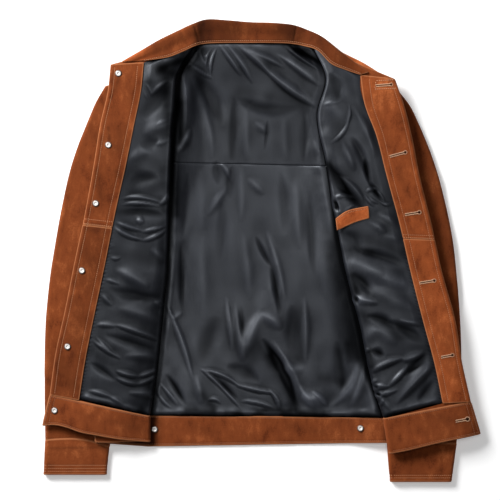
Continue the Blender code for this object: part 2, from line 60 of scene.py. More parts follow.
# ---- cloth and how it lies --------------------------------------------------------------------
SUEDE = 1.6             # thickness of each cloth
SATIN = 0.5
BAND = 3.0
SLEEVE_WALL = 2.6
CUFF_WALL = 2.9
WELT_WALL = 1.8
SEAM = 0.3              # gap at a seam
PLY = 0.8               # gap between plies
LINING = 1.0            # thickness of the solids' lining, which the folds leave room for
FOLD_AIR = 3.6          # air inside a front's fold
FOLD_AIR_TOP = 1.2      # and at the neck
FOLD_AIR_DOWN = 0.12    # share of the way down over which it opens
SLEEVE_HEIGHT = 9.4
CUFF_HEIGHT = 9.8
SLEEVE_RAMP = 65.0      # over which the body comes down inside a sleeve
OUTER_RAMP = 60.0       # outside it
SHOULDER_RAMP = 75.0    # and above it
SLEEVE_MARGIN = 6.0
ARMPIT_Y = 150.0
FLAP_DROP = 6.5         # how far a front's free edge hangs beyond the side seam
FLAP_START = 10.0
FLAP_RAMP = 60.0
LEAF_REACH = 30.0       # from the neck seam, over which the body lies on the collar's leaf
LEAF_RAMP = 50.0
ROLL_RADIUS = 6.0       # of the collar's roll, at most, and as a share of the collar's width
ROLL_SHARE = 0.22
TURN_UNDER = 9.0        # reach of the collar's stand beneath its roll
NECK_RISE = 7.0
FRONT_Z = SUEDE + 2 * (PLY + LINING) + PLY      # underside of a front over the body's
YOKE_SEAM_DOWN = 0.318
YOKE_SEAM_DIP = 0.20
YOKE_SEAM_PAINTED_LIGHT = {"upper": 1.5, "lower": 1.4}      # painted highlight on the seam's two edges
SEAM_ROW = {"upper": -1, "lower": 0}                # row of a part that lies at its cross seam
FACING_SEAM_DOWN = {"left": 0.49, "right": 0.50}
FACING_SEAM_LINES = {"left": (-2.2, -9.6), "right": (-2.2, -6.6)}     # below its join
FACING_EDGE_LINE = 7.0          # from the front edge
FACING_BORDER_LINE = 9.0        # from the lining
FACING_BORDER_LINE_TOP = 13.0   # and at the neck, on the right
# Painted light: how much lighter or darker each of these pieces of the one suede is drawn
FACING_PAINTED_LIGHT = {"left": {"upper": 0.84, "lower": 0.72}, "right": {"upper": 1.25, "lower": 1.45}}
SLEEVE_PAINTED_LIGHT = {"left": 0.92, "right": 0.82}
LEAF_PAINTED_LIGHT = 2.3
WELT_PAINTED_LIGHT = 1.9
BAND_PAINTED_LIGHT = {"left": 0.95, "right": 1.05}
BAND_DEPTHS = {"left": 48.0, "right": 39.0}
BAND_START = 0.012      # share of its depth that the band starts below the seam
BAND_TOP_LINE = 2.2
BAND_LOW_LINE = 2.6
BAND_END_LINES = (2.6, 9.0)
EDGE_ROLLS = {"facing": (1.9, 3.2), "band": (0.8, 3.0)}     # drop of the free edge, and reach
LINE_PUCKER = 0.35      # height of the ripples along a facing's sewing
LINE_PUCKER_REACH = 9
# Slow unevenness of each piece: (height, size, seed)
RIPPLES = {"body": (0.6, 70, 11), "facing": (0.45, 34, 41), "back_band": (0.35, 30, 51),
           "front_band": (0.25, 26, 52), "sleeve": (0.8, 60, 61), "sleeve_small": (0.35, 22, 62),
           "cuff": (0.3, 18, 63), "collar": (0.3, 20, 71)}
# Painted shadow beside the fronts' folds on the back's band: (x where it starts, reach, share)
BAND_FOLD_SHADOWS = {"left": (-175, 9.0, 0.82), "right": (199, 6.0, 0.4)}

FrontRow = namedtuple(
    "FrontRow", "down fold_x fold_y border_x border_y edge_x edge_y side_x side_y")

# Down the body from neck (0) to waistband seam (1): the fold line, the seam of lining and
# facing, the front edge, and the armhole and side seam.
FRONTS = {
    "left": table(
        FrontRow,
        (0.00, -106, 330, -188, 299, -240, 296, -214, 284),
        (0.08, -132, 282, -192, 257, -244, 255, -236, 244),
        (0.18, -139, 223, -203, 202, -256, 202, -247, 202),
        (0.30, -144, 151, -216, 138, -266, 140, -258, 140),
        (0.45, -147, 63, -234, 57, -280, 62, -271, 65),
        (0.60, -150, -25, -250, -23, -297, -18, -284, -18),
        (0.75, -159, -114, -267, -104, -313, -98, -284, -108),
        (0.88, -167, -191, -281, -174, -328, -166, -278, -185),
        (1.00, -177, -264, -291, -238, -337, -230, -265, -257),
    ),
    "right": table(
        FrontRow,
        (0.00, 81, 326, 158, 279, 212, 273, 192, 264),
        (0.08, 102, 278, 164, 236, 226, 232, 212, 232),
        (0.18, 89, 217, 183, 184, 239, 180, 225, 196),
        (0.30, 102, 145, 199, 122, 251, 119, 241, 132),
        (0.45, 116, 58, 220, 44, 270, 42, 260, 55),
        (0.60, 134, -33, 238, -34, 287, -35, 276, -25),
        (0.75, 157, -122, 258, -113, 308, -112, 279, -114),
        (0.88, 172, -197, 276, -180, 319, -179, 282, -191),
        (1.00, 193, -267, 289, -243, 333, -241, 286, -262),
    ),
}

SleeveRow = namedtuple("SleeveRow", "y outer_x inner_x")

SLEEVES = {
    "left": table(
        SleeveRow,
        (263, -250, -220), (241, -263, -196), (202, -280, -169), (164, -295, -154),
        (126, -307, -154), (81, -317, -164), (17, -329, -178), (-47, -339, -191),
        (-111, -345, -204), (-175, -347, -216), (-239, -347, -230), (-302, -346, -242),
    ),
    "right": table(
        SleeveRow,
        (257, 218, 185), (234, 236, 162), (202, 252, 142), (164, 268, 129),
        (126, 281, 129), (81, 293, 138), (17, 306, 153), (-47, 313, 164),
        (-111, 318, 174), (-175, 320, 183), (-239, 318, 193), (-308, 312, 201),
    ),
}

CuffEnds = namedtuple("CuffEnds", "top_outer top_inner bottom_outer bottom_inner bottom_y")

CUFFS = {
    "left": CuffEnds(-346, -243, -348.5, -247, -358),
    "right": CuffEnds(312, 200, 304, 205, -369.5),
}
# Rise of the seam of sleeve and cuff over a straight one: (x, rise)
CUFF_SEAMS = {
    "left": ((-350, -0.5), (-320, 1.5), (-295, 1.5), (-272, -2.0), (-256, -7.0), (-242, -11.0)),
    "right": ((198, 0.0), (256, 1.5), (314, 0.0)),
}
CUFF_LINES = {"left": (4.2, 8.8, 13.6), "right": (5.4, 9.6)}      # from the cuff's end
CUFF_STITCH_FROM = 4.0          # height from which a cuff's sewing shows

BandEnd = namedtuple("BandEnd", "fold_x fold_y corner_x corner_y")

BAND_BOTTOMS = {
    "left": BandEnd(-177, -304, -348.5, -279),
    "right": BandEnd(202, -322, 348.5, -292),
}
# Rise of a band's lower edge over a straight one: (x, rise)
BAND_WAVES = {
    "left": ((-350, 0.0), (-330, 4.6), (-310, 3.6), (-288, -0.6), (-264, -1.6), (-230, -2.4),
             (-177, 0.0)),
    "right": ((202, 0.0), (226, -0.8), (280, 0.6), (350, 0.0)),
}

# Along the collar: its seam, the top of its roll, and the leaf's two borders
CollarRow = namedtuple(
    "CollarRow", "seam_x seam_y roll_x roll_y leaf_x leaf_y inner_x inner_y leaf_z")

COLLAR = table(

    CollarRow,
    (-185, 303, -223, 301, -215, 297, -194, 276, 7),
    (-167, 305, -192, 319, -189, 319, -169, 281, 4),
    (-146, 309, -165, 335, -162, 332, -143, 289, 2),
    (-124, 318, -135, 350, -132, 346, -119, 300, 1),
    (-105, 327, -110, 362, -108, 357, -102, 311, 0),
    (-87, 331, -87, 369.5, -87, 365, -86, 318, 0),
    (-54, 332, -54, 368, -54, 366, -54, 319, 0),
    (-18, 332, -18, 365, -18, 363, -18, 319, 0),
    (17, 332, 17, 364, 17, 362, 17, 319, 0),
    (46, 331, 49, 361, 48, 359, 46, 318, 0),
    (68, 327, 73, 353, 71, 351, 66, 311, 0),
    (90, 319, 97, 341, 96, 341, 86, 298, 1),
    (111, 298, 122, 321, 126, 318, 110, 279, 2),
    (134, 288, 145, 303, 163, 299, 135, 266, 5),
    (157, 280, 170, 284, 202, 274, 161, 255, 7),
)

# Painted light and shade along the collar, darkest at its creases: (x, share)
COLLAR_PAINTED_LIGHT = (
    (-220, 1.50), (-202, 1.60), (-178, 0.90), (-162, 0.68), (-146, 0.72), (-130, 0.82),
    (-116, 0.80), (-104, 0.42), (-98, 0.24), (-88, 0.26), (-74, 0.38), (-50, 0.42), (-18, 0.64),
    (14, 0.64), (36, 0.40), (50, 0.27), (62, 0.45), (78, 0.52), (94, 0.46), (113, 0.62),
    (126, 0.54), (142, 0.68), (160, 0.95), (180, 1.30))
# Creases across the collar: (x at its seam, lean of the crease, half width, depth)
COLLAR_CREASES = ((-99, -0.25, 2.6, 1.6), (-113, -0.5, 3.5, 0.7), (51, 0.2, 2.2, 1.3),
                  (72, 0.8, 3.5, 0.7), (-34, 0.0, 5.0, 0.4))
STAND_LINE = 3.0        # from the neck seam
LEAF_LINE = 4.5         # from the leaf's edge

# Borders of the pocket's strip of suede, as frame steps along each
WELT_UPPER = ((335.6, 218.8), (346.0, 211.8), (367.2, 206.8))
WELT_LOWER = ((337.0, 230.0), (352.0, 223.0), (368.2, 218.0))
WELT_SHARES = (0, 0.4, 1)       # of the way along, at those places
WELT_LINE = 3.0         # from its upper border

TACKS = ((-228, 282), (-244, 168), (-264, 75), (-286, -32), (-309, -153), (-330, -255),
         (-171, -286), (158, -284))
# Half section of a tack's back: (radius, height)
TACK_PROFILE = ((0, 0.5), (0.6, 0.52), (1.1, 0.85), (1.5, 1.4), (2.1, 1.62), (3.3, 1.70),
                (4.2, 1.55), (4.9, 1.15), (5.25, 0.6), (5.3, 0.2), (5.0, 0.0), (0, 0))
TACK_RADIUS = 5.3
TACK_FACE = 3.5         # radius beyond which a tack's rim is painted dark, as shade
TACK_SIDES = 48

# Keyhole buttonholes: the slit's inner end, and the middle and the radius of its eye
Hole = namedtuple("Hole", "inner_px inner_py eye_px eye_py eye")

BUTTONHOLES = table(
    Hole,
    (375.5, 86.6, 390.5, 85.4, 1.5), (389.0, 157.0, 404.5, 152.9, 1.7),
    (404.0, 215.0, 418.5, 212.6, 1.9), (418.5, 283.0, 433.4, 280.6, 1.7),
    (440.0, 356.8, 451.5, 354.6, 1.7), (454.5, 420.6, 466.5, 418.4, 2.5),
)
# The stitched box round the first one, as frame steps at the ends of its lines
BOX_LINES = (((375.5, 81.6), (394.5, 80.6)), ((374.0, 90.0), (395.5, 89.0)),
             ((375.0, 82.4), (374.4, 89.4)))
SLIT_HALF = 0.42
SLIT_DEPTH = 0.5
PURL_PITCH = 0.75
PURL_LENGTH = 2.1
PURL_THREAD = 0.36      # radius of a purl stitch
UP = (0.0, 0.0, 1.0)

# ---- folds of the lining ----------------------------------------------------------------------
# Ridges, or troughs where the height is negative, from one place to another, bowed sideways
# at the middle, with positive to the left of the way they run. lean makes one flank steep: at
# +1 it is the right-hand one. Widths and heights are in millimetres.
Fold = namedtuple("Fold", "start_px start_py end_px end_py bow_px half_width height lean",
                  defaults=(0,))

BACK_FOLDS = table(

    Fold,
    # neck, from the left
    (183, 72, 184, 138, 3, 11, 6, 0.6), (191, 128, 177, 154, 1, 7, 4), (197, 42, 186, 68, 0, 9, -6),
    (194, 74, 224, 126, 2, 13, -5, 0.2), (204, 106, 212, 162, 2, 10, 3),
    (234, 96, 232, 164, 1, 9, -3.6), (188, 63, 214, 79, -1, 2.6, 2.2),
    (211, 80, 218, 46, 3, 2.6, 2.2), (200, 48, 208, 68, -2, 2.4, 1.5),
    (206, 69, 212, 48, 2, 2.4, 1.5), (203, 56, 209, 58, 0, 2.4, 1.2),
    (219, 45, 241, 76, 1, 5, 3.4, 0.5), (226, 44, 253, 84, 2, 6, 3.8, 0.5),
    (238, 46, 270, 74, 2, 9, 5, 0.6), (262, 66, 319, 108, -2, 9, 7, 0.7),
    (247, 50, 285, 68, 1, 6, 3, 0.3), (276, 53, 321, 87, 1, 8, 4.6, 0.5),
    (283, 42, 320, 71, -1, 4, 3.4, -0.5), (294, 44, 322, 64, 1, 8, -7),
    (284, 46, 314, 67, -1, 2.6, 2.4), (236, 98, 300, 108, -7, 12, -4.4),
    (254, 122, 268, 134, 1, 9, 2.2), (268, 118, 264, 152, 1, 4, -1.4),
    (246, 108, 247, 162, 0, 10, 2.6), (284, 114, 287, 162, -2, 12, 2.6),
    (304, 110, 303, 164, 1, 9, -2.6), (317, 112, 320, 164, 1, 7, 2.6, 0.3),
    # below the yoke's seam
    (216, 160, 219, 186, -1, 7, -2.4), (220, 162, 232, 184, 2, 6, 2.8, 0.3),
    (233, 164, 230, 200, -1, 8, -2.8), (208, 216, 228, 186, 1, 9, 2.6),
    (247, 178, 264, 195, 1, 9, 2.2), (240, 166, 241, 222, 1, 9, 2.6, 0.2),
    (203, 168, 203, 236, -2, 15, 2.8), (188, 172, 182, 240, 1, 9, -2),
    (222, 200, 218, 262, 2, 10, -2.2), (280, 170, 284, 236, 2, 10, -2.2),
    (296, 176, 300, 250, -1, 12, 3),
    # down the left
    (171, 246, 166, 312, -2, 7, 5, 0.5), (165, 302, 193, 382, 3, 6, 4.4, 0.3),
    (181, 242, 183, 314, 0, 7, -3.4), (172, 320, 184, 310, 0, 6, 1.8),
    (204, 230, 203, 322, -2, 18, 3.4), (218, 316, 203, 366, -3, 18, -3.2),
    (161, 383, 160, 398, -2, 2.6, 2.6), (159, 394, 172, 408, -1, 2.8, 2.8),
    (160, 383, 178, 406, 1, 2.8, 2.8), (166, 374, 186, 406, 1, 6, -3.6),
    (196, 374, 202, 404, 0, 9, 3),
    # middle
    (226, 296, 232, 352, 1, 6, 3, 0.2), (235, 302, 245, 362, -1, 8, 3.4, -0.3),
    (241, 304, 241, 350, 1, 5, -1.2), (241, 362, 262, 310, 2, 13, 5.6, 0.2),
    (260, 313, 282, 329, 2, 12, 4.4, 0.2), (262, 338, 297, 408, 4, 8, -8),
    (272, 340, 305, 402, 3, 9, 3.6, -0.4), (226, 366, 260, 382, 2, 12, -4),
    (200, 368, 242, 410, 2, 3.2, 4, 0.4), (200, 370, 242, 388, 4, 3.2, 3.8, 0.4),
    (234, 384, 276, 393, -1, 3.2, 3.8, 0.5), (268, 389, 279, 410, 3, 3.2, 3.6, 0.5),
    (212, 376, 238, 400, 0, 6, -3.6), (240, 401, 274, 408, 2, 2.8, 2.8, 0.4),
    (207, 400, 222, 404, 3, 2.8, 2.4, 0.3), (256, 236, 272, 268, -1, 5, -3),
    (270, 264, 280, 316, 1, 6, -3.4), (266, 230, 285, 302, 2, 8, 3.6, 0.2),
    (243, 232, 250, 300, 1, 12, 2.4),
    # right
    (293, 304, 292, 360, -1, 13, -3.8), (304, 296, 305, 364, 1, 9, 3.8),
    (320, 214, 325, 300, -1, 12, 2.2), (309, 190, 314, 280, 0, 9, -2.6),
    (276, 374, 306, 368, 2, 13, 3.4), (300, 396, 330, 404, 2, 13, 3.6),
    (328, 408, 359, 359, -7, 10, 3.8, 0.1), (350, 408, 365, 360, -3, 8, 3.4),
    (336, 340, 341, 394, 1, 10, -3.6), (311, 390, 327, 406, 1, 5, 3, 0.3),
    (300, 384, 314, 408, -1, 7, 2.6),
)

FRONT_FOLDS = {
    "left": table(
        Fold,
        (144, 120, 173, 84, 0, 14, -5.6), (146, 100, 156, 62, 1, 17, 1.8),
        (150, 98, 170, 80, 1, 5, 2), (142, 136, 173, 123, 2, 13, 2.6, 0.2),
        (156, 127, 171, 119, 1, 4, 1), (156, 146, 171, 139, 0, 6, 1.8),
        (140, 146, 160, 140, -2, 12, -3.4), (122, 163, 154, 150, 2, 12, 2.4, 0.2),
        (142, 88, 148, 101, 0, 2.6, 1), (146, 84, 152, 97, 1, 2.8, 1),
        (126, 186, 160, 178, 2, 13, -4.6), (116, 200, 164, 204, 4, 4, 3.4, 0.3),
        (158, 206, 171, 192, -2, 5, 3.2), (118, 206, 162, 207, 3, 3.4, 3, 0.4),
        (118, 214, 167, 217, 3, 8, -3.8), (136, 221, 146, 221, 0, 6, 2.4),
        (114, 221, 145, 231, -1, 3.6, 3.8, 0.4), (141, 232, 169, 225, -1, 3.6, 3.6, 0.4),
        (111, 224, 145, 240, -3, 4, 4, 0.4), (140, 241, 169, 227, -3, 4, 3.2, 0.4),
        (109, 256, 122, 257, -2, 4, 2.6, 0.3), (107, 244, 116, 246, 0, 4, 2),
        (114, 268, 150, 288, 1, 11, 3.8, 0.1), (102, 279, 121, 284, 1, 4, 2.8, 0.3),
        (108, 288, 163, 297, -3, 11, -5), (98, 292, 113, 306, 1, 6, 3),
        (118, 308, 162, 322, 2, 12, 3), (94, 325, 118, 326, 1, 5, 2.4, 0.3),
        (114, 324, 162, 341, 1, 5, 4.2, 0.6), (104, 334, 158, 350, 0, 9, -3.8),
        (91, 338, 122, 358, -1, 4, 3.4, 0.3), (96, 336, 113, 350, -1, 3.4, 2.4, 0.3),
        (124, 356, 162, 360, 3, 9, 3), (116, 370, 140, 376, -1, 4, 3.8, 0.4),
        (138, 376, 160, 368, -1, 4, 3.6, 0.4), (116, 377, 140, 384, -1, 4, 3.2, 0.4),
        (136, 384, 160, 372, -2, 4, 3, 0.4), (88, 390, 114, 397, 1, 4, 3, 0.3),
        (110, 396, 124, 405, 1, 4, 2.8, 0.3), (90, 362, 116, 380, 1, 7, -3.4),
        (128, 392, 160, 398, 2, 7, 3.4, 0.2), (154, 300, 166, 306, 0, 6, 2.4),
        (150, 248, 168, 262, 1, 9, 2.8),
    ),
    "right": table(
        Fold,
        (330, 74, 338, 102, 2, 10, -5), (322, 98, 346, 124, 1, 15, 2.4),
        (322, 106, 340, 103, 1, 3.2, 0.8), (348, 104, 344, 128, 3, 3.2, 2),
        (349, 120, 330, 144, 3, 3.4, 2.4, 0.3), (352, 106, 376, 158, 2, 10, 4.6, 0.2),
        (350, 136, 368, 178, 2, 8, -4.4), (364, 158, 371, 188, -1, 4.4, -4.4),
        (369, 182, 383, 201, -1, 5, -4.4), (340, 140, 354, 172, 1, 8, 3),
        (326, 160, 360, 208, -2, 9, -7), (336, 176, 364, 203, 3, 8, 5, -0.4),
        (364, 193, 378, 190, 2, 2.8, 2.6), (374, 189, 384, 203, 1, 2.8, 2.8),
        (378, 201, 395, 200, -4, 2.8, 2.8), (364, 194, 374, 207, -1, 2.8, 2),
        (368, 196, 378, 204, -1, 2.6, 1.6), (331, 200, 357, 200, 4, 3.4, 2.6, 0.3),
        (333, 198, 342, 214, -2, 3.4, 2.6), (342, 214, 356, 204, 1, 3.2, 1.6),
        (336, 232, 362, 252, 3, 12, -5), (366, 221, 386, 233, 1, 8, 2.2),
        (382, 236, 408, 242, 1, 8, 1.8), (346, 261, 384, 274, 2, 14, 3.2, 0.1),
        (350, 264, 418, 288, -1, 18, 5, 0.3), (352, 272, 372, 295, 1, 10, -5),
        (356, 250, 408, 266, 1, 9, -4.4), (349, 299, 378, 303, 1, 7, 3.8, 0.1),
        (372, 288, 420, 310, -1, 14, 3.4), (398, 320, 426, 325, 0, 5, 3.4, 0.3),
        (365, 316, 396, 330, 4, 8, -3.4), (388, 320, 426, 344, 1, 9, -5),
        (363, 343, 378, 327, 2, 12, 2), (370, 327, 396, 345, 3, 12, 2.6),
        (370, 372, 404, 357, 2, 6, 4.8, 0.3), (400, 360, 428, 351, -1, 7, 4, 0.3),
        (372, 387, 390, 386, 1, 4, 3.6, 0.3), (387, 386, 408, 364, -1, 5, 4.2, 0.3),
        (374, 395, 398, 388, -1, 4, 2.8, 0.3), (394, 404, 440, 358, 2, 10, 6, 0.4),
        (370, 350, 384, 356, 1, 7, -4), (366, 352, 368, 347, 0, 2.6, 2.2),
        (370, 383, 377, 378, 0, 2.6, 1.8), (370, 394, 378, 386, 1, 2.6, 2.6),
        (373, 402, 382, 390, 1, 2.6, 2.4), (377, 406, 384, 398, 0, 2.6, 2.2),
        (372, 390, 390, 410, 1, 5, 3), (402, 376, 428, 348, -2, 8, -4.6),
        (416, 402, 440, 378, 1, 8, -3.6), (376, 214, 400, 228, 2, 9, 2.6),
        (384, 170, 394, 194, 1, 7, 3),
    ),
}

FOLD_SHARE = 0.62       # of the height in the tables, that the lining lies with
# Smaller folds that lie anyhow: (height, squeeze along x and y, size, seed)
FRONT_CRUMPLES = ((1.5, 0.6, 1, 36, 25), (0.5, 0.7, 1, 18, 21))
BACK_CRUMPLES = ((1.5, 1, 0.35, 38, 35), (0.45, 1, 0.6, 18, 31))

# Width of the painted shade in the gutter beside each fold, down the body: (down, millimetres)
GUTTERS = {
    "left": ((0.0, 9.0), (0.10, 12.0), (0.22, 9.5), (0.45, 6.5), (0.58, 3.0), (0.85, 2.0),
             (1.0, 4.0)),
    "right": ((0.0, 4.0), (0.12, 2.0), (0.3, 2.0), (0.46, 6.0), (0.54, 18.0), (0.60, 26.0),
              (0.68, 31.0), (0.76, 38.0), (0.82, 32.0), (0.87, 11.0), (0.93, 5.0), (1.0, 3.0)),
}
GUTTER_SHARE = 0.92     # of the light painted out in the gutters

# Painted shade on the lining, at places that lie deep in the dark, as lines with a half width in
# millimetres and the share of the light painted out there. Where the share is negative it is a
# painted highlight, at a place that catches the light.
ShadeLine = namedtuple("ShadeLine", "start_px start_py end_px end_py half_width share")

BACK_PAINTED_LIGHT = table(

    ShadeLine,
    (188, 68, 202, 50, 10, 0.85), (180, 104, 180, 142, 13, 0.88), (176, 152, 176, 214, 9, 0.8),
    (197, 74, 222, 124, 12, 0.42), (184, 76, 187, 98, 6, -0.3), (179, 150, 187, 138, 5, -0.6),
    (234, 100, 232, 156, 10, 0.38), (240, 92, 302, 104, 13, 0.4), (296, 50, 318, 62, 10, 0.92),
    (285, 44, 301, 53, 7, 0.8), (300, 60, 313, 69, 6, 0.4), (318, 72, 316, 88, 8, 0.4),
    (306, 112, 305, 158, 11, 0.25), (218, 168, 230, 184, 8, 0.25), (216, 320, 204, 356, 14, 0.42),
    (260, 344, 274, 362, 12, 0.55), (270, 356, 296, 408, 9, 0.8), (248, 343, 261, 318, 8, -0.45),
    (262, 318, 276, 326, 7, -0.4), (286, 372, 302, 370, 9, -0.5), (306, 396, 324, 404, 13, -0.7),
    (297, 312, 299, 356, 12, 0.45), (255, 352, 246, 376, 10, 0.35), (276, 268, 284, 330, 7, 0.25),
    (184, 244, 183, 312, 9, 0.3), (322, 378, 342, 382, 9, 0.4), (339, 352, 343, 384, 8, 0.5),
    (348, 344, 349, 360, 7, 0.5), (358, 364, 353, 392, 8, -0.9), (352, 388, 340, 402, 5, -0.35),
    (202, 394, 214, 408, 7, 0.55), (186, 410, 214, 411, 5, 0.7), (226, 412, 240, 412, 4, 0.5),
    (258, 411, 290, 410, 5, 0.7), (296, 411, 330, 412, 4, 0.6),
)

FRONT_PAINTED_LIGHT = {
    "left": table(
        ShadeLine,
        (163, 69, 186, 60, 12, 0.92), (160, 72, 177, 75, 10, 0.75), (166, 61, 179, 55, 3, -1.6),
        (167, 80, 167, 106, 12, 0.78), (143, 112, 164, 92, 9, 0.45), (150, 126, 168, 121, 7, -0.3),
        (169, 116, 170, 136, 8, 0.62), (147, 66, 150, 82, 9, 0.5), (126, 172, 160, 168, 18, 0.4),
        (136, 188, 166, 184, 12, 0.4), (120, 212, 166, 212, 8, 0.45), (112, 250, 160, 262, 12, 0.3),
        (106, 296, 160, 300, 14, 0.32), (92, 350, 118, 372, 9, 0.25), (150, 386, 160, 402, 9, 0.45),
    ),
    "right": table(
        ShadeLine,
        (330, 74, 336, 96, 8, 0.45), (330, 108, 348, 124, 13, -0.15), (338, 126, 334, 150, 9, 0.25),
        (328, 166, 360, 208, 10, 0.82), (366, 166, 380, 200, 9, 0.45), (350, 232, 400, 253, 11, 0.45),
        (350, 249, 370, 252, 8, 0.65), (349, 261, 358, 263, 6, -0.15), (366, 270, 404, 280, 9, -0.25),
        (370, 283, 406, 288, 10, -0.8), (352, 276, 356, 291, 8, 0.75), (356, 288, 372, 295, 6, 0.5),
        (353, 300, 368, 302, 6, -0.6), (354, 312, 366, 318, 9, 0.35), (366, 315, 384, 320, 8, 0.25),
        (384, 322, 400, 338, 8, 0.45), (372, 330, 384, 340, 10, -0.3), (369, 350, 371, 366, 5, 0.6),
        (398, 326, 428, 346, 12, 0.4), (410, 366, 430, 350, 9, 0.35),
    ),
}

# Places where the suede is drawn darker, or lighter where the share is negative, in the same way:
# partly the nap's own patches, partly painted shade in crumples and beside raised edges
NAP_AND_PAINTED_SHADE = table(
    ShadeLine,
    (119, 80, 113, 97, 3.5, 0.34), (113, 72, 112, 82, 4, 0.22), (109, 128, 110, 140, 2.5, 0.34),
    (105, 142, 118, 149, 8, 0.2), (120, 132, 129, 158, 8, 0.16), (117, 172, 124, 183, 6, 0.24),
    (97, 172, 102, 197, 7, 0.24), (116, 96, 129, 116, 9, -0.16), (88, 219, 110, 221, 4, -0.2),
    (86, 229, 107, 232, 4, 0.2), (92, 122, 97, 140, 8, 0.16), (82, 112, 57, 258, 4, 0.12),
    (60, 200, 56, 330, 9, -0.08), (86, 252, 98, 268, 8, 0.14), (78, 290, 92, 308, 9, -0.14),
    (60, 362, 76, 386, 12, 0.18), (72, 402, 92, 409, 7, -0.14), (112, 420, 146, 430, 8, 0.14),
    (52, 443, 94, 442, 4, -0.12), (51, 448, 98, 447, 2, 0.22), (99, 437, 107, 449, 7, 0.3),
    (366, 86, 380, 92, 9, -0.14), (382, 85, 393, 89, 7, -0.3), (398, 112, 408, 140, 6, 0.16),
    (384, 128, 392, 150, 8, 0.14), (398, 170, 408, 196, 7, 0.18), (408, 218, 424, 232, 7, -0.14),
    (414, 254, 420, 276, 6, 0.16), (428, 262, 436, 296, 6, -0.1), (432, 318, 446, 342, 8, 0.14),
    (440, 370, 458, 392, 9, -0.12), (394, 428, 424, 440, 7, -0.12), (432, 414, 468, 424, 7, 0.16),
    (190, 424, 214, 434, 8, 0.14), (236, 420, 262, 430, 7, -0.1), (290, 426, 322, 432, 8, 0.14),
    (346, 420, 366, 434, 7, 0.12),
)

FOLD_PAINTED_SHINE = 2.2        # painted highlight where the upper right fold's edge catches the light
FOLD_SHINE_AT = 7.0     # how far round the fold that is
FOLD_SHINE_WIDTH = 1.6
FOLD_SHINE_DOWN = 0.29  # and how far down it goes
PUCKER_SHADE = {"left": 0.97, "right": 0.45}    # painted shade in the puckers along the facing's seam: how dark
PUCKER_PITCH = 5.8
# Painted light: how much lighter or darker each lining piece is drawn
LINING_PAINTED_LIGHT = {"left": 0.72, "right": 0.92, "upper": 0.90, "lower": 1.08}
HOLLOW = 0.80           # share of the light painted out for each millimetre that a point lies sunk

# ---- relaxation of the lining -----------------------------------------------------------------
SLACK = 0.004           # spare length of the cloth, as a share
PUFF = 2.4              # height of the lining's own fullness over what it lies on
# Over what distance from each of its borders a lining comes up from where it is sewn
FRONT_FREE = {"fold": 14, "border": 16, "hem": 8, "neck": 10}
BACK_FREE = {"fold": 12, "hem": 6, "neck": 8}
BACK_HELD = 4           # how far inside the folds' centres the back's lining starts to
FRONT_CAP = 9.0         # greatest height of a lining: on the fronts
FOLD_CAP = 2.5          # round a front's fold, which is its first columns
FOLD_COLUMNS = 8
BACK_CAP = 10.0         # on the back
TUCK_CAP = 0.9          # and beneath the folds
STEPS = 14
GRAVITY = 0.002         # millimetres a step, each step
DRAG = 0.90
SHEAR = 0.30            # share of a stretched diagonal that springs back each step
BEND = 0.30             # and of a bent span

# ---- lines of sewing --------------------------------------------------------------------------
PITCH = 3.2
STITCH = 2.5
THREAD = 0.50           # radius of a stitch
THREAD_SIDES = 5
GROOVE = 0.5            # depth of the groove that a line of sewing pulls in
GROOVE_WIDTH = 1.3
GROOVE_FLOOR = 0.75     # share of its depth that the stitches lie in it

# ---- how fine the shells are ------------------------------------------------------------------
LINING_ROWS = 300
LINING_ARC, LINING_FLAT = 7, 60             # cells round a front's fold, and over the front
TUCK_FROM = 0.78        # share of the way in to the fold at which the back's lining starts
TUCK_CELLS, MIDDLE_CELLS = 7, 168           # cells from there to the fold, and between folds
FACING_ROWS, FACING_CELLS = 330, 40
FRONT_ROWS = 120
BACK_ROWS = 90
BACK_BAND_ROWS, FRONT_BAND_ROWS = 30, 32
BAND_UNDER, BAND_ARC, BAND_OVER = 31, 11, 111       # points of a front band below, round, above
SLEEVE_ROWS, SLEEVE_AROUND = 130, 90
CUFF_ROWS, CUFF_AROUND = 36, 120
COLLAR_COLUMNS, STAND_CELLS, LEAF_CELLS = 260, 22, 26
WELT_ROWS, WELT_CELLS = 40, 15
WAVE_CELLS = 64         # of the table that a field of waves is drawn from
HARDLY = 1e-9           # keeps a length that is divided by from being nothing


# ---- curves and fields ------------------------------------------------------------------------

def smooth(t):
    """From 0 to 1, easing at both."""
    t = np.clip(t, 0.0, 1.0)
    return t * t * (3 - 2 * t)


def mix(a, b, t):
    """From a to b as t goes from 0 to 1."""
    return a + (b - a) * t


def bell(distance, width, power=2):
    """1 at no distance, about a third at the width, and soon nothing beyond it."""
    return np.exp(-(distance / width) ** power)


def curve_value(stations, values, t):
    """Values at t on a smooth curve through the values at the stations."""
    stations = np.asarray(stations, float)
    values = np.asarray(values, float)
    if stations[0] > stations[-1]:
        stations, values = stations[::-1], values[::-1]
    t = np.clip(t, stations[0], stations[-1])
    i = np.clip(np.searchsorted(stations, t, side="right") - 1, 0, len(stations) - 2)
    slopes = np.gradient(values, stations)
    span = stations[i + 1] - stations[i]
    u = (t - stations[i]) / span
    return ((2 * u**3 - 3 * u**2 + 1) * values[i] + (u**3 - 2 * u**2 + u) * span * slopes[i]
            + (3 * u**2 - 2 * u**3) * values[i + 1] + (u**3 - u**2) * span * slopes[i + 1])


def curve(points, t):
    """Values at t on a smooth curve through points of (station, value)."""
    return curve_value(*zip(*points), t)


def read(rows, station, column, t):
    """Values at t of a table's column, against the column of its stations."""
    return curve_value([getattr(row, station) for row in rows],
                       [getattr(row, column) for row in rows], t)


def front_point(side, name, down):
    """Places on one of a front's lines."""
    rows = FRONTS[side]
    return np.stack((read(rows, "down", name + "_x", down),
                     read(rows, "down", name + "_y", down)), -1)


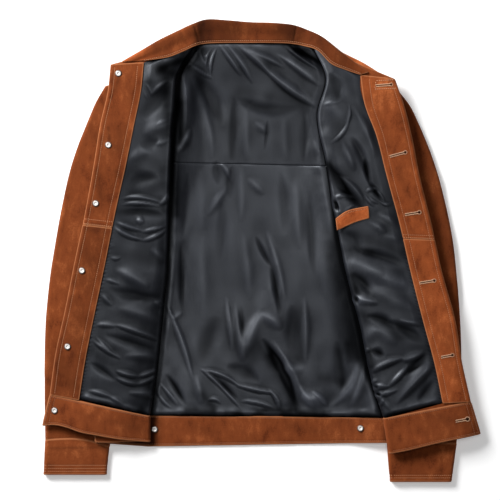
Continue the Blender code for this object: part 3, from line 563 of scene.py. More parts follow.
def inward(side):
    """Sign of X from that side towards the middle."""
    return 1 if side == "left" else -1


def line_distance(x, y, start, end):
    """Distance in plan from a straight line between two places."""
    step_x, step_y = end[0] - start[0], end[1] - start[1]
    t = ((x - start[0]) * step_x + (y - start[1]) * step_y) / (step_x**2 + step_y**2)
    t = np.clip(t, 0, 1)
    return np.hypot(x - start[0] - t * step_x, y - start[1] - t * step_y)


def neck_distance(x, y):
    """Distance in plan from the collar's seam."""
    places = [(row.seam_x, row.seam_y) for row in COLLAR]
    best = np.full(np.shape(x), np.inf)
    for start, end in zip(places, places[1:]):
        best = np.minimum(best, line_distance(x, y, start, end))
    return best


def lift(x, y):
    """Height of the body's underside over the sleeves and the collar's leaf."""
    x, y = np.broadcast_arrays(np.asarray(x, float), np.asarray(y, float))
    height = (SUEDE + PLY) * (1 - smooth((neck_distance(x, y) - LEAF_REACH) / LEAF_RAMP))
    for side in FRONTS:
        rows = SLEEVES[side]
        within = (x - read(rows, "y", "inner_x", np.minimum(y, ARMPIT_Y))) * inward(side)
        beyond = (read(rows, "y", "outer_x", y) - x) * inward(side)
        above = y - rows[0].y
        sleeve = np.full(x.shape, SLEEVE_HEIGHT + PLY)
        for distance, ramp in ((within, SLEEVE_RAMP), (beyond, OUTER_RAMP),
                               (above, SHOULDER_RAMP)):
            sleeve *= 1 - smooth((distance - SLEEVE_MARGIN) / ramp)
        height = height + np.where((x < 0) == (side == "left"), sleeve, 0)
    return height


def waves(x, y, size, seed, octaves=1):
    """Smooth field of about -1 to 1 whose waves are about size across."""
    drawn = np.random.default_rng(seed).uniform(-1, 1, (WAVE_CELLS, WAVE_CELLS))

    def at(a, b):
        return drawn[a % WAVE_CELLS, b % WAVE_CELLS]

    total = 0
    for k in range(octaves):
        u, v = np.asarray(x) / size * 2**k + 17.3 * k, np.asarray(y) / size * 2**k + 5.1 * k
        i, j = np.floor(u).astype(int), np.floor(v).astype(int)
        fu, fv = smooth(u - i), smooth(v - j)
        total = total + mix(mix(at(i, j), at(i + 1, j), fu),
                            mix(at(i, j + 1), at(i + 1, j + 1), fu), fv) / 2**k
    return total


def crumples(rows, x, y):
    """Height of folds that lie anyhow."""
    return sum(height * waves(x * squeeze_x, y * squeeze_y, size, seed)
               for height, squeeze_x, squeeze_y, size, seed in rows)


def ripple(name, x, y):
    """Height of a piece's slow unevenness."""
    height, size, seed = RIPPLES[name]
    return height * waves(x, y, size, seed, 2)


def bed(x, y):
    """Height of the body's underside, with the rise and fall that its plies have together."""
    return lift(x, y) + RIPPLES["body"][0] + ripple("body", x, y)


def front_top(down):
    """Height of the turned-back suede's upper face over the body's underside."""
    air = mix(FOLD_AIR_TOP, FOLD_AIR, smooth(down / FOLD_AIR_DOWN))
    return FRONT_Z + 2 * SUEDE + air


def fold_radius(down):
    """Radius of a front's fold, at the suede's outer face."""
    return (front_top(down) - FRONT_Z) / 2


def tuck_radius(down):
    """The same round the solids' lining."""
    return fold_radius(down) + PLY + LINING


def fold_centre(side, down):
    """Places on the axis that a front is folded round."""
    point = front_point(side, "fold", down)
    point[..., 0] -= inward(side) * tuck_radius(down)
    return point


def place(px, py):
    """Millimetres from steps of the camera's frame."""
    return np.stack(((np.asarray(px) - PX_ZERO[0]) * PX, (PX_ZERO[1] - np.asarray(py)) * PX), -1)


def folds_height(folds, x, y):
    """Height that the folds add at places."""
    total = np.zeros(np.shape(x))
    for fold in folds:
        start, end = place(fold.start_px, fold.start_py), place(fold.end_px, fold.end_py)
        length = np.linalg.norm(end - start)
        along = (end - start) / length
        dx, dy = x - start[0], y - start[1]
        inside = np.clip((dx * along[0] + dy * along[1]) / length, 0, 1)
        bow = fold.bow_px * PX * (1 - (2 * inside - 1) ** 2)
        across = dy * along[0] - dx * along[1] - bow
        swell = np.sin(math.pi * inside)
        lean = 1 + 0.5 * fold.lean * np.tanh(across / 2.0)
        width = fold.half_width * (0.55 + 0.60 * swell) * lean
        total += FOLD_SHARE * fold.height * swell ** 1.3 * np.exp(-(across / width) ** 2 * 2)
    return total


def spread(values, passes):
    """Values blurred over their neighbours."""
    for _ in range(passes):
        for axis in (0, 1):
            pad = ((1, 1), (0, 0)) if axis == 0 else ((0, 0), (1, 1))
            wide = np.pad(values, pad, mode="edge")
            n = values.shape[axis]
            values = (np.take(wide, range(n), axis) + 2 * values
                      + np.take(wide, range(2, n + 2), axis)) / 4
    return values


def openness(height):
    """Painted light and shade: share of the light drawn at each point, less in the hollows between
    folds and more on their crests.
    """
    sunk = (spread(height, 8) + spread(height, 40)) / 2 - height
    return np.clip(1 - HOLLOW * sunk, 0.10, 1.7)


def shade_lines_light(recesses, x, y):
    """Painted light at places: the share that the shade lines leave, more than one at painted
    highlights.
    """
    light = np.ones(np.shape(x))
    for recess in recesses:
        distance = line_distance(x, y, place(recess.start_px, recess.start_py),
                                 place(recess.end_px, recess.end_py))
        light *= 1 - recess.share * bell(distance, recess.half_width)
    return light


def hem_ridge(to_hem, x):
    """Height of the lining's uneven roll just above the waistband's seam."""
    tall = 0.35 + 0.8 * waves(x, 0 * x + 40, 21, 27, 2)
    return tall * bell(to_hem - 7 - 2.5 * waves(x, 0 * x, 30, 28), 6)


def hem_light(to_hem, x):
    """Painted shade near the waistband's seam, where the lining turns down: the share of the light
    left.
    """
    reach = 4.6 + 5.6 * waves(x, 0 * x + 20, 19, 29, 2)
    return 1 - 0.90 * bell(to_hem, np.clip(reach, 1.2, 10))


def edge_roll(name, to_edge):
    """How far a piece comes down at its free edge."""
    drop, reach = EDGE_ROLLS[name]
    return drop * smooth(1 - to_edge / reach) ** 2


def soft_floor(height):
    """Heights that come down softly to nothing, and never below."""
    ease = 0.7
    return ease * np.logaddexp(0, height / ease)


# ---- grids of points --------------------------------------------------------------------------

def raised(plan, z):
    """Points over the places of a plan, at those heights."""
    return np.concatenate((plan, z[..., None]), -1)


def between(first, last, shares):
    """Rows of points from one line to another, at those shares of the way."""
    return first[:, None] + (last - first)[:, None] * np.asarray(shares)[None, :, None]


def side_rows(side, down, shares):
    """Plan points from the side seam (0) to the fold's centre (1), a row for each down."""
    return between(front_point(side, "side", down), fold_centre(side, down), shares)


def back_plan(down, tuck_from, tuck_cells, middle_cells):
    """Plan points across the back, from the left side round to the right."""
    shares = np.linspace(tuck_from, 1, tuck_cells + 1)
    left, right = side_rows("left", down, shares), side_rows("right", down, shares)
    t = np.linspace(0, 1, middle_cells + 1)[1:-1]
    middle = left[:, -1:] + (right[:, -1:] - left[:, -1:]) * t[None, :, None]
    rise = NECK_RISE * (1 - smooth(down / 0.1))
    middle[..., 1] += rise[:, None] * np.sqrt(np.sin(math.pi * t))[None]
    return np.concatenate((left, middle, right[:, ::-1]), 1)


def hang(side, side_x, x):
    """How far a turned-back front comes down beyond the side seam."""
    return FLAP_DROP * smooth(((side_x - x) * inward(side) - FLAP_START) / FLAP_RAMP)


def front_arc(side, down, stand_out, cells):
    """A front's points round its fold, from the lower ply to the upper one."""
    radius = fold_radius(down)
    centre = fold_centre(side, down)
    angle = np.linspace(-math.pi / 2, math.pi / 2, cells + 1)[None]
    reach = (radius + stand_out)[:, None]
    middle = (bed(centre[:, 0], centre[:, 1]) + FRONT_Z + radius)[:, None]
    x = centre[:, :1] + inward(side) * reach * np.cos(angle)
    y = np.repeat(centre[:, 1:], cells + 1, 1)
    return np.stack((x, y, middle + reach * np.sin(angle)), -1)


def front_flat(side, down, ends, cells, stand_out):
    """The turned-back part of a front, between two of its lines: the names of both, or the
    fold's centre."""
    first, last = (fold_centre(side, down) if name == "centre" else front_point(side, name, down)
                   for name in ends)
    plan = between(first, last, np.linspace(0, 1, cells + 1))
    x, y = plan[..., 0], plan[..., 1]
    side_x = front_point(side, "side", down)[..., 0][:, None]
    return raised(plan, bed(x, y) + front_top(down)[:, None] + stand_out - hang(side, side_x, x))


def unit(vectors):
    """The vectors at a length of one."""
    return vectors / np.maximum(np.linalg.norm(vectors, axis=-1, keepdims=True), HARDLY)


def normals(grid, closed=False):
    """Normals of a grid, whose columns run round when it is closed."""
    if closed:
        across = (np.roll(grid, -1, 1) - np.roll(grid, 1, 1)) / 2
    else:
        across = np.gradient(grid, axis=1)
    return unit(np.cross(np.gradient(grid, axis=0), across))


def upward(grid):
    """Normals on the side that faces up."""
    normal = normals(grid)
    return normal * np.sign(normal[..., 2:].mean())


def travel(grid, axis):
    """Distance along a grid's rows or columns from their start."""
    step = np.linalg.norm(np.diff(grid, axis=axis), axis=-1)
    start = np.zeros_like(np.take(step, [0], axis=axis))
    return np.concatenate((start, np.cumsum(step, axis=axis)), axis=axis)


def both_ways(grid, axis):
    """Distance along a grid's rows or columns from their start, and to their end."""
    gone = travel(grid, axis)
    return gone, np.take(gone, [-1], axis=axis) - gone


def border_distance(grid, closed=False):
    """About how far each point is from the nearest border of its grid."""
    best = np.minimum(*both_ways(grid, 0))
    return best if closed else np.minimum(best, np.minimum(*both_ways(grid, 1)))


def parted(grid, cut, gap):
    """The parts of a grid above and below a row, each drawn back there by a share of a row."""
    upper, lower = grid[:cut + 1].copy(), grid[cut:].copy()
    upper[-1] += (upper[-2] - upper[-1]) * gap
    lower[0] += (lower[1] - lower[0]) * gap
    return {"upper": upper, "lower": lower}


def sample(grid, row, column):
    """Points of a grid at fractional rows and columns."""
    row, column = np.broadcast_arrays(row, column)
    row = np.clip(row, 0, grid.shape[0] - 1.000001)
    column = np.clip(column, 0, grid.shape[1] - 1.000001)
    i, j = np.floor(row).astype(int), np.floor(column).astype(int)
    u, v = (row - i)[:, None], (column - j)[:, None]
    i2, j2 = np.minimum(i + 1, grid.shape[0] - 1), np.minimum(j + 1, grid.shape[1] - 1)
    return mix(mix(grid[i, j], grid[i, j2], v), mix(grid[i2, j], grid[i2, j2], v), u)


# ---- meshes -----------------------------------------------------------------------------------

def link_object(name, data):
    """A new object in the scene."""
    obj = bpy.data.objects.new(name, data)
    bpy.context.scene.collection.objects.link(obj)
    return obj


def add_mesh(name, points, faces, material, attributes=()):
    """A mesh of the jacket's one body, from millimetres."""
    mesh = bpy.data.meshes.new(name)
    mesh.from_pydata((np.asarray(points) * MM).tolist(), [], faces)
    mesh.shade_smooth()
    for key, values in attributes:
        layer = mesh.attributes.new(key, "FLOAT", "POINT")
        layer.data.foreach_set("value", np.asarray(values, np.float32))
    mesh.materials.append(material)
    obj = link_object(name, mesh)
    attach(obj, "root")
    return obj


def rim_loops(rows, columns, closed):
    """Border points in order, as lists of (row, column) with the inner neighbour's."""
    last_row, last_column = rows - 1, columns - 1
    if closed:
        ring = list(range(columns))
        return [[(0, j, 1, j) for j in ring],
                [(last_row, j, last_row - 1, j) for j in reversed(ring)]]
    loop = [(0, j, 1, j) for j in range(columns)]
    loop += [(i, last_column, i, last_column - 1) for i in range(1, rows)]
    loop += [(last_row, j, last_row - 1, j) for j in reversed(range(last_column))]
    loop += [(i, 0, i, 1) for i in reversed(range(1, last_row))]
    return [loop]


def shell(name, grid, wall, material, closed=False, tone=1.0, rim=3, depth=None):
    """Thin closed shell round a grid of middle points, with rounded borders. A closed grid is
    a tube. depth is how far each point's outer face is moved in, such as by a line of sewing."""
    rows, columns = grid.shape[:2]
    normal = normals(grid, closed)
    top = grid + normal * (wall / 2)
    low = grid - normal * (wall / 2)
    if depth is not None:
        if closed or normal[..., 2].mean() > 0:
            top = top - normal * depth[..., None]
        else:
            low = low + normal * depth[..., None]
    edge = border_distance(grid, closed)
    # painted light and shade that each point is drawn with
    tones = np.broadcast_to(np.asarray(tone, float), (rows, columns))
    # the nap's own patches and painted shade, on every suede shell
    if material is SUEDE_LOOK:
        tones = tones * shade_lines_light(NAP_AND_PAINTED_SHADE, grid[..., 0], grid[..., 1])
    points = [top.reshape(-1, 3), low.reshape(-1, 3)]
    edges = [edge.ravel(), edge.ravel()]
    shades = [tones.ravel(), tones.ravel()]
    count = rows * columns
    index = np.arange(count).reshape(rows, columns)
    following = np.roll(index, -1, 1) if closed else index[:, 1:]
    here = index if closed else index[:, :-1]
    quads = np.stack((here[:-1], here[1:], following[1:], following[:-1]), -1).reshape(-1, 4)
    faces = quads.tolist() + (quads[:, ::-1] + count).tolist()
    total = 2 * count
    for loop in rim_loops(rows, columns, closed):
        i, j, inner_i, inner_j = np.array(loop).T
        out = grid[i, j] - grid[inner_i, inner_j]
        across = normal[i, j]
        out = unit(out - across * (out * across).sum(-1, keepdims=True))
        ring = index[i, j]
        levels = [ring]
        upper, lower = top[i, j], low[i, j]
        middle, reach = (upper + lower) / 2, np.linalg.norm(upper - lower, axis=-1)[:, None] / 2
        for k in range(1, rim + 1):
            angle = math.pi * k / (rim + 1)
            points.append(middle + (across * math.cos(angle) + out * math.sin(angle)) * reach)
            edges.append(np.zeros(len(ring)))
            shades.append(tones[i, j])
            levels.append(total + np.arange(len(ring)))
            total += len(ring)
        levels.append(ring + count)
        for a, b in zip(levels, levels[1:]):
            faces += np.stack((a, np.roll(a, -1), np.roll(b, -1), b), -1).tolist()
    return add_mesh(name, np.concatenate(points), faces, material,
                    (("edge", np.concatenate(edges)), ("tone", np.concatenate(shades))))


def piece(name, node, grid, wall, look, **words):
    """A shell of suede or satin that takes the place of a node of the model."""
    obj = shell(name, grid, wall, look, **words)
    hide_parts(node)
    return obj


class Sewing:
    """Gathers stitches, and makes them one mesh of small rounded lengths of thread."""

    def __init__(self):
        self.points, self.faces, self.total = [], [], 0

    def line(self, path, normal, pitch=PITCH, length=STITCH, radius=THREAD, sink=0.25):
        """Stitches along a line of points, lying on the surface with those normals."""
        distance = travel(path, 0)
        count = int(distance[-1] / pitch)
        if count < 1:
            return
        start = (np.arange(count) + 0.5) * distance[-1] / count - length / 2
        a, b, n = (np.stack([np.interp(at, distance, values[:, k]) for k in range(3)], -1)
                   for at, values in ((start, path), (start + length, path),
                                      (start + length / 2, normal)))
        along = unit(b - a)
        side = unit(np.cross(n, along))
        up = np.cross(along, side)
        raised_by = up * (radius - sink)
        rings = [a - up * 0.2]
        for share, fat in ((0.22, 0.85), (0.78, 0.85)):
            centre = mix(a, b, share) + raised_by
            for turn in range(THREAD_SIDES):
                angle = 2 * math.pi * turn / THREAD_SIDES
                rings.append(centre + (side * math.cos(angle) + up * math.sin(angle))
                             * radius * fat)
        rings.append(b - up * 0.2)
        block = np.stack(rings, 1)
        size = block.shape[1]
        first, second = 1, 1 + THREAD_SIDES
        base = []
        for k in range(THREAD_SIDES):
            after = (k + 1) % THREAD_SIDES
            base += [(0, first + after, first + k),
                     (first + k, first + after, second + after, second + k),
                     (size - 1, second + k, second + after)]
        for m in range(count):
            offset = self.total + m * size
            self.faces += [tuple(v + offset for v in face) for face in base]
        self.points.append(block.reshape(-1, 3))
        self.total += count * size

    def on(self, grid, row, column, **words):
        """Stitches on a grid's upper face, along fractional rows and columns."""
        self.line(sample(grid, row, column), sample(upward(grid), row, column), **words)

    def make(self, name, material):
        return add_mesh(name, np.concatenate(self.points), self.faces, material)


def groove(distance, width=GROOVE_WIDTH, deep=GROOVE):
    """Depth of the groove that a line of sewing pulls into the cloth."""
    return deep * bell(distance, width)


def grooves(distance, lines):
    """Depth of the grooves of lines that lie at those distances."""
    return sum(groove(distance - line) for line in lines)


def sewn_face(grid, normal, wall, floor=GROOVE_FLOOR):
    """The level in a shell's grooves that its stitches lie on."""
    return grid + normal * (wall / 2 - GROOVE * floor)


def trees_of(objects):
    """The objects' faces, for finding heights with."""
    graph = bpy.context.evaluated_depsgraph_get()
    return [BVHTree.FromObject(obj, graph) for obj in objects]


def top_at(trees, x, y, reach=0.0):
    """Highest point of the trees' meshes at a place and within reach of it, or 0."""
    found = []
    for dx, dy in ((0, 0), (1, 0), (-1, 0), (0, 1), (0, -1)) if reach else ((0, 0),):
        start = Vector(((x + dx * reach) * MM, (y + dy * reach) * MM, 1))
        for tree in trees:
            hit = tree.ray_cast(start, Vector((0, 0, -1)))[0]
            if hit is not None:
                found.append(hit.z / MM)
    return max(found, default=0)


def tops(trees, places, reach=0.0):
    """Highest points at each of the places."""
    return np.array([top_at(trees, x, y, reach) for x, y in places])


# ---- materials --------------------------------------------------------------------------------

def new_material(name):
    """A material, its tree and shader, and the coordinates that its textures lie in."""
    material = bpy.data.materials.new(name)
    material.use_nodes = True
    tree = material.node_tree
    shader = tree.nodes["Principled BSDF"]
    coords = tree.nodes.new("ShaderNodeTexCoord").outputs["Object"]
    return material, tree, shader, coords


def feed(tree, socket, value):
    """Link a socket to another, or set its own colour or number."""
    if isinstance(value, bpy.types.NodeSocket):
        tree.links.new(value, socket)
    elif isinstance(value, tuple):
        socket.default_value = (*value, 1)
    else:
        socket.default_value = value


def dress(tree, shader, values):
    """Feed a shader's sockets by their names."""
    for name, value in values.items():
        feed(tree, shader.inputs[name], value)


def noise(tree, coords, size, detail=2.0, roughness=0.5, stretch=None):
    """Noise whose grain is about size millimetres."""
    if stretch:
        mapping = tree.nodes.new("ShaderNodeMapping")
        mapping.inputs["Scale"].default_value = stretch
        tree.links.new(coords, mapping.inputs["Vector"])
        coords = mapping.outputs["Vector"]
    node = tree.nodes.new("ShaderNodeTexNoise")
    dress(tree, node, {"Scale": 1000 / size, "Detail": detail, "Roughness": roughness,
                       "Vector": coords})
    return node.outputs["Fac"]


def remap(tree, value, low, high, to_low=0.0, to_high=1.0):
    """Value eased from one range to another."""
    node = tree.nodes.new("ShaderNodeMapRange")
    node.interpolation_type = "SMOOTHSTEP"
    dress(tree, node, {"From Min": low, "From Max": high, "To Min": to_low, "To Max": to_high,
                       "Value": value})
    return node.outputs["Result"]


def math_node(tree, operation, a, b):
    node = tree.nodes.new("ShaderNodeMath")
    node.operation = operation
    feed(tree, node.inputs[0], a)
    feed(tree, node.inputs[1], b)
    return node.outputs[0]


def colour_mix(tree, factor, a, b):
    """Colour from a to b, by a factor's socket."""
    node = tree.nodes.new("ShaderNodeMix")
    node.data_type = "RGBA"
    feed(tree, node.inputs["Factor"], factor)
    feed(tree, node.inputs[6], a)
    feed(tree, node.inputs[7], b)
    return node.outputs[2]


def scale_colour(tree, colour, factor):
    """Colour times a factor's socket."""
    node = tree.nodes.new("ShaderNodeVectorMath")
    node.operation = "SCALE"
    feed(tree, node.inputs[0], colour)
    feed(tree, node.inputs["Scale"], factor)
    return node.outputs[0]


def attribute(tree, name):
    """Value of the mesh's attribute."""
    node = tree.nodes.new("ShaderNodeAttribute")
    node.attribute_name = name
    return node.outputs["Fac"]


def bump(tree, shader, layers):
    """Bump from layers of (height, depth in millimetres)."""
    normal = None
    for height, depth in layers:
        node = tree.nodes.new("ShaderNodeBump")
        dress(tree, node, {"Strength": 1.0, "Distance": depth * MM, "Height": height})
        if normal is not None:
            feed(tree, node.inputs["Normal"], normal)
        normal = node.outputs["Normal"]
    feed(tree, shader.inputs["Normal"], normal)


def suede_material():
    """Brushed suede: a short nap that lies both ways in patches, paler where rubbed, with painted
    highlights along its edges.
    """
    material, tree, shader, coords = new_material("suede")
    patches = noise(tree, coords, 48, 3, 0.55)
    brush = noise(tree, coords, 11, 3, 0.6, (1.0, 0.45, 1.0))
    grain = noise(tree, coords, 1.8, 3, 0.7)
    fibre = noise(tree, coords, 0.5, 2, 0.6)
    dark, middle, light = (0.090, 0.0172, 0.0040), (0.182, 0.0425, 0.0113), (0.340, 0.095, 0.0290)
    rubbed_and_lit_colour = (0.40, 0.160, 0.068)
    shade = math_node(tree, "ADD", remap(tree, patches, 0.22, 0.78, 0.03, 0.43),
                      remap(tree, brush, 0.23, 0.77, 0.0, 0.39))
    shade = math_node(tree, "ADD", shade, remap(tree, grain, 0.25, 0.75, 0.0, 0.26))
    lower = colour_mix(tree, remap(tree, shade, 0.10, 0.55), dark, middle)
    colour = colour_mix(tree, remap(tree, shade, 0.55, 1.05), lower, light)
    # drawn lighter or darker by the painted light and shade that each mesh carries
    colour = scale_colour(tree, colour, attribute(tree, "tone"))
    # paler near every border: partly rubbed wear, partly a painted highlight along the edges
    rubbed_and_lit = remap(tree, attribute(tree, "edge"), 0.2, 1.8, 0.55, 0.0)
    dress(tree, shader, {
        "Base Color": colour_mix(tree, rubbed_and_lit, colour, rubbed_and_lit_colour),
        "Roughness": remap(tree, brush, 0.2, 0.8, 0.88, 1.0),
        "Specular IOR Level": 0.08,
        "Sheen Weight": 0.18,
        "Sheen Roughness": 0.45,
        "Sheen Tint": (1.0, 0.50, 0.28),
    })
    bump(tree, shader, ((brush, 0.5), (grain, 0.30), (fibre, 0.12)))
    return material


def satin_material():
    """Slate satin: a fine warp-faced weave with a broad soft gloss."""
    material, tree, shader, coords = new_material("satin_lining")
    cloud = noise(tree, coords, 90, 2, 0.5)
    slub = noise(tree, coords, 1.4, 2, 0.6, (1.0, 0.12, 1.0))
    weave = noise(tree, coords, 0.45, 1, 0.5, (1.0, 0.35, 1.0))
    crumple = noise(tree, coords, 14, 3, 0.55)
    dark, light = (0.0062, 0.0069, 0.0094), (0.0091, 0.0101, 0.0136)
    slub_colour = (0.017, 0.018, 0.022)
    colour = colour_mix(tree, remap(tree, cloud, 0.3, 0.7), dark, light)
    colour = colour_mix(tree, remap(tree, slub, 0.3, 0.8, 0.0, 0.35), colour, slub_colour)
    # painted light and shade that each mesh carries, which scales both the colour and the gloss
    painted_light = attribute(tree, "tone")
    dress(tree, shader, {
        "Base Color": scale_colour(tree, colour, painted_light),
        "Roughness": remap(tree, slub, 0.2, 0.8, 0.40, 0.46),
        "Specular IOR Level": math_node(tree, "MULTIPLY", painted_light, 0.52),
        "Specular Tint": (0.87, 0.92, 1.0),
        "Anisotropic": 0.35,
    })
    bump(tree, shader, ((crumple, 0.12), (slub, 0.03), (weave, 0.02)))
    return material


def metal_material():
    """Plated steel of the tacks, a little scratched, with painted shade round its rim."""
    material, tree, shader, coords = new_material("metal")
    wear = noise(tree, coords, 1.2, 3, 0.6)
    colour = colour_mix(tree, remap(tree, wear, 0.3, 0.7), (0.78, 0.75, 0.72), (0.92, 0.89, 0.86))
    dress(tree, shader, {
        # painted shade: darker towards the rim
        "Base Color": colour_mix(tree, attribute(tree, "rim"), colour, (0.16, 0.12, 0.10)),
        "Roughness": remap(tree, wear, 0.3, 0.8, 0.34, 0.52),
        "Metallic": 0.55,
    })
    bump(tree, shader, ((wear, 0.02),))
    return material


def thread_material(name, low, high):
    """Polyester thread: two plies twisted."""
    material, tree, shader, coords = new_material(name)
    wave = tree.nodes.new("ShaderNodeTexWave")
    wave.bands_direction = "DIAGONAL"
    dress(tree, wave, {"Scale": 900, "Vector": coords})
    twist = wave.outputs["Fac"]
    dress(tree, shader, {"Base Color": colour_mix(tree, twist, low, high), "Roughness": 0.6})
    bump(tree, shader, ((twist, 0.05),))
    return material


def grained_material(name, size, low, high, values):
    """One colour with a little grain."""
    material, tree, shader, coords = new_material(name)
    grain = remap(tree, noise(tree, coords, size, 2, 0.5), 0.3, 0.7)
    dress(tree, shader, {"Base Color": colour_mix(tree, grain, low, high), **values})
    return material


SUEDE_LOOK, SATIN_LOOK, METAL_LOOK = suede_material(), satin_material(), metal_material()
# Painted shadow: a dark sheet in each buttonhole's slit, where shade falls
SLIT_SHADOW_LOOK = grained_material("slit_shadow", 0.8, (0.010, 0.004, 0.0025), (0.030, 0.010, 0.005),
                             {"Roughness": 1.0, "Specular IOR Level": 0.05})
THREAD_LOOK = thread_material("thread", (0.42, 0.185, 0.085), (0.56, 0.27, 0.135))
TONAL_LOOK = thread_material("tonal_thread", (0.24, 0.085, 0.034), (0.36, 0.140, 0.060))
PURL_LOOK = thread_material("purl_thread", (0.56, 0.33, 0.190), (0.74, 0.48, 0.310))


# ---- relaxation -------------------------------------------------------------------------------

def link_slices(shape):
    """Neighbours that share no point within a pair of slices: (first, second, firmness)."""
    rows, columns = shape[:2]
    every = slice(None)
    pairs = []
    for s in (0, 1):
        last_row, last_column = s + (rows - s) // 2 * 2, s + (columns - s) // 2 * 2
        above, below = slice(s, last_row, 2), slice(s + 1, last_row, 2)
        left, right = slice(s, last_column, 2), slice(s + 1, last_column, 2)
        pairs.append(((above, every), (below, every), 1))
        pairs.append(((every, left), (every, right), 1))
        pairs.append(((above, slice(0, -1)), (below, slice(1, None)), SHEAR))
        pairs.append(((above, slice(1, None)), (below, slice(0, -1)), SHEAR))
    return pairs


def bend_pairs(shape):
    """Points two apart, with the one between, which resist bending there."""
    pairs = []
    for axis in (0, 1):
        first = np.arange(shape[axis] - 2)
        for s in (0, 1):
            chosen = first[(first // 2) % 2 == s]
            if len(chosen):
                pairs.append([(chosen + step, slice(None)) if axis == 0
                              else (slice(None), chosen + step) for step in (0, 1, 2)])
    return pairs


def relax(base, normal, start, cap, pinned):
    """Settle a sheet that starts at a height over its base: it keeps its lengths, resists
    bending, falls, and stays between its base and its cap."""
    point = base + normal * start[..., None]
    fixed = point.copy()

    def distance(a, b):
        return np.linalg.norm(point[b] - point[a], axis=-1)

    springs = [(a, b, distance(a, b) * (1 + SLACK), firm)
               for a, b, firm in link_slices(point.shape)]
    springs += [(a, b, (distance(a, middle) + distance(middle, b)) * (1 + SLACK), BEND)
                for a, middle, b in bend_pairs(point.shape)]
    before = point.copy()
    free = ~pinned[..., None]
    for _ in range(STEPS):
        moved = (point - before) * DRAG
        before = point.copy()
        point = point + (moved - normal * GRAVITY) * free
        for a, b, rest, firm in springs:
            step = point[b] - point[a]
            length = np.linalg.norm(step, axis=-1)
            step *= ((1 - rest / length) * 0.5 * firm)[..., None]
            point[a] += step
            point[b] -= step
        height = ((point - base) * normal).sum(-1)
        point += normal * (np.clip(height, 0, cap) - height)[..., None]
        point = np.where(free, point, fixed)
    return point


def settle(base, normal, start, cap):
    """Relax a lining whose whole border is sewn down."""
    pinned = np.zeros(start.shape, bool)
    pinned[0] = pinned[-1] = pinned[:, 0] = pinned[:, -1] = True
    return relax(base, normal, start, cap, pinned)


# ---- the lining -------------------------------------------------------------------------------

def front_lining(side):
    """Satin from under the facing's border, over the turned-back front and round its fold."""
    down = np.linspace(0.0, 1.0, LINING_ROWS)
    stand_out = 0.7
    arc = front_arc(side, down, stand_out, LINING_ARC)
    flat = front_flat(side, down, ("centre", "border"), LINING_FLAT, stand_out)
    base = np.concatenate((arc, flat[:, 1:]), 1)
    normal = normals(base)
    normal *= np.sign(normal[:, -LINING_FLAT:, 2].mean())
    x, y = base[..., 0], base[..., 1]
    from_fold, to_border = both_ways(base, 1)
    to_neck, to_hem = both_ways(base, 0)
    free = (smooth(from_fold / FRONT_FREE["fold"]) * smooth(to_border / FRONT_FREE["border"])
            * smooth(to_hem / FRONT_FREE["hem"]) * smooth(to_neck / FRONT_FREE["neck"]))
    puff = PUFF * smooth(from_fold / 30) * smooth(to_border / 40)
    form = puff + 0.4 + folds_height(FRONT_FOLDS[side], x, y) + crumples(FRONT_CRUMPLES, x, y)
    form += 0.5 * bell(from_fold, 30) * waves(x, y, 14, 23)
    start = soft_floor(form) * free
    start += hem_ridge(to_hem, x) * smooth(to_border / 12)
    start += 0.3 * bell(to_border - 8, 6)
    start[-1] = start[:, -1] = 0.0
    cap = np.full(x.shape, FRONT_CAP)
    cap[:, :FOLD_COLUMNS] = FOLD_CAP
    point = settle(base, normal, start, cap)
    dip = 0.35 * bell(to_border, 2.5) + 0.6 * bell(to_hem, 2.5)
    point = point - normal * dip[..., None]
    # Painted light and shade of the satin: per piece, darker in its hollows and lighter on crests,
    # along the shade lines, and darker near the hem
    light = openness(((point - base) * normal).sum(-1)) * LINING_PAINTED_LIGHT[side]
    light = light * shade_lines_light(FRONT_PAINTED_LIGHT[side], x, y) * hem_light(to_hem, x)
    # painted highlight along the right fold's edge
    if side == "right":
        painted_shine = FOLD_PAINTED_SHINE * bell(from_fold - FOLD_SHINE_AT, FOLD_SHINE_WIDTH)
        light *= 1 + painted_shine * (1 - smooth((down - FOLD_SHINE_DOWN) / 0.05))[:, None]
    # painted shade in the puckers along the facing's seam
    stray = 0.5 * waves(to_neck, 0 * to_neck, 12, 24)
    teeth = 1.7 * np.sin(2 * math.pi * (to_neck / PUCKER_PITCH + stray)) - 0.2
    pucker_shade = np.clip(teeth, -0.4, 1) * bell(to_border, 5.0) * PUCKER_SHADE[side]
    light = light * (1 - pucker_shade * smooth((down - 0.45) / 0.15)[:, None])
    return piece("satin_front_" + side, "front_lining_" + side, point, SATIN, SATIN_LOOK,
                 rim=1, tone=light)


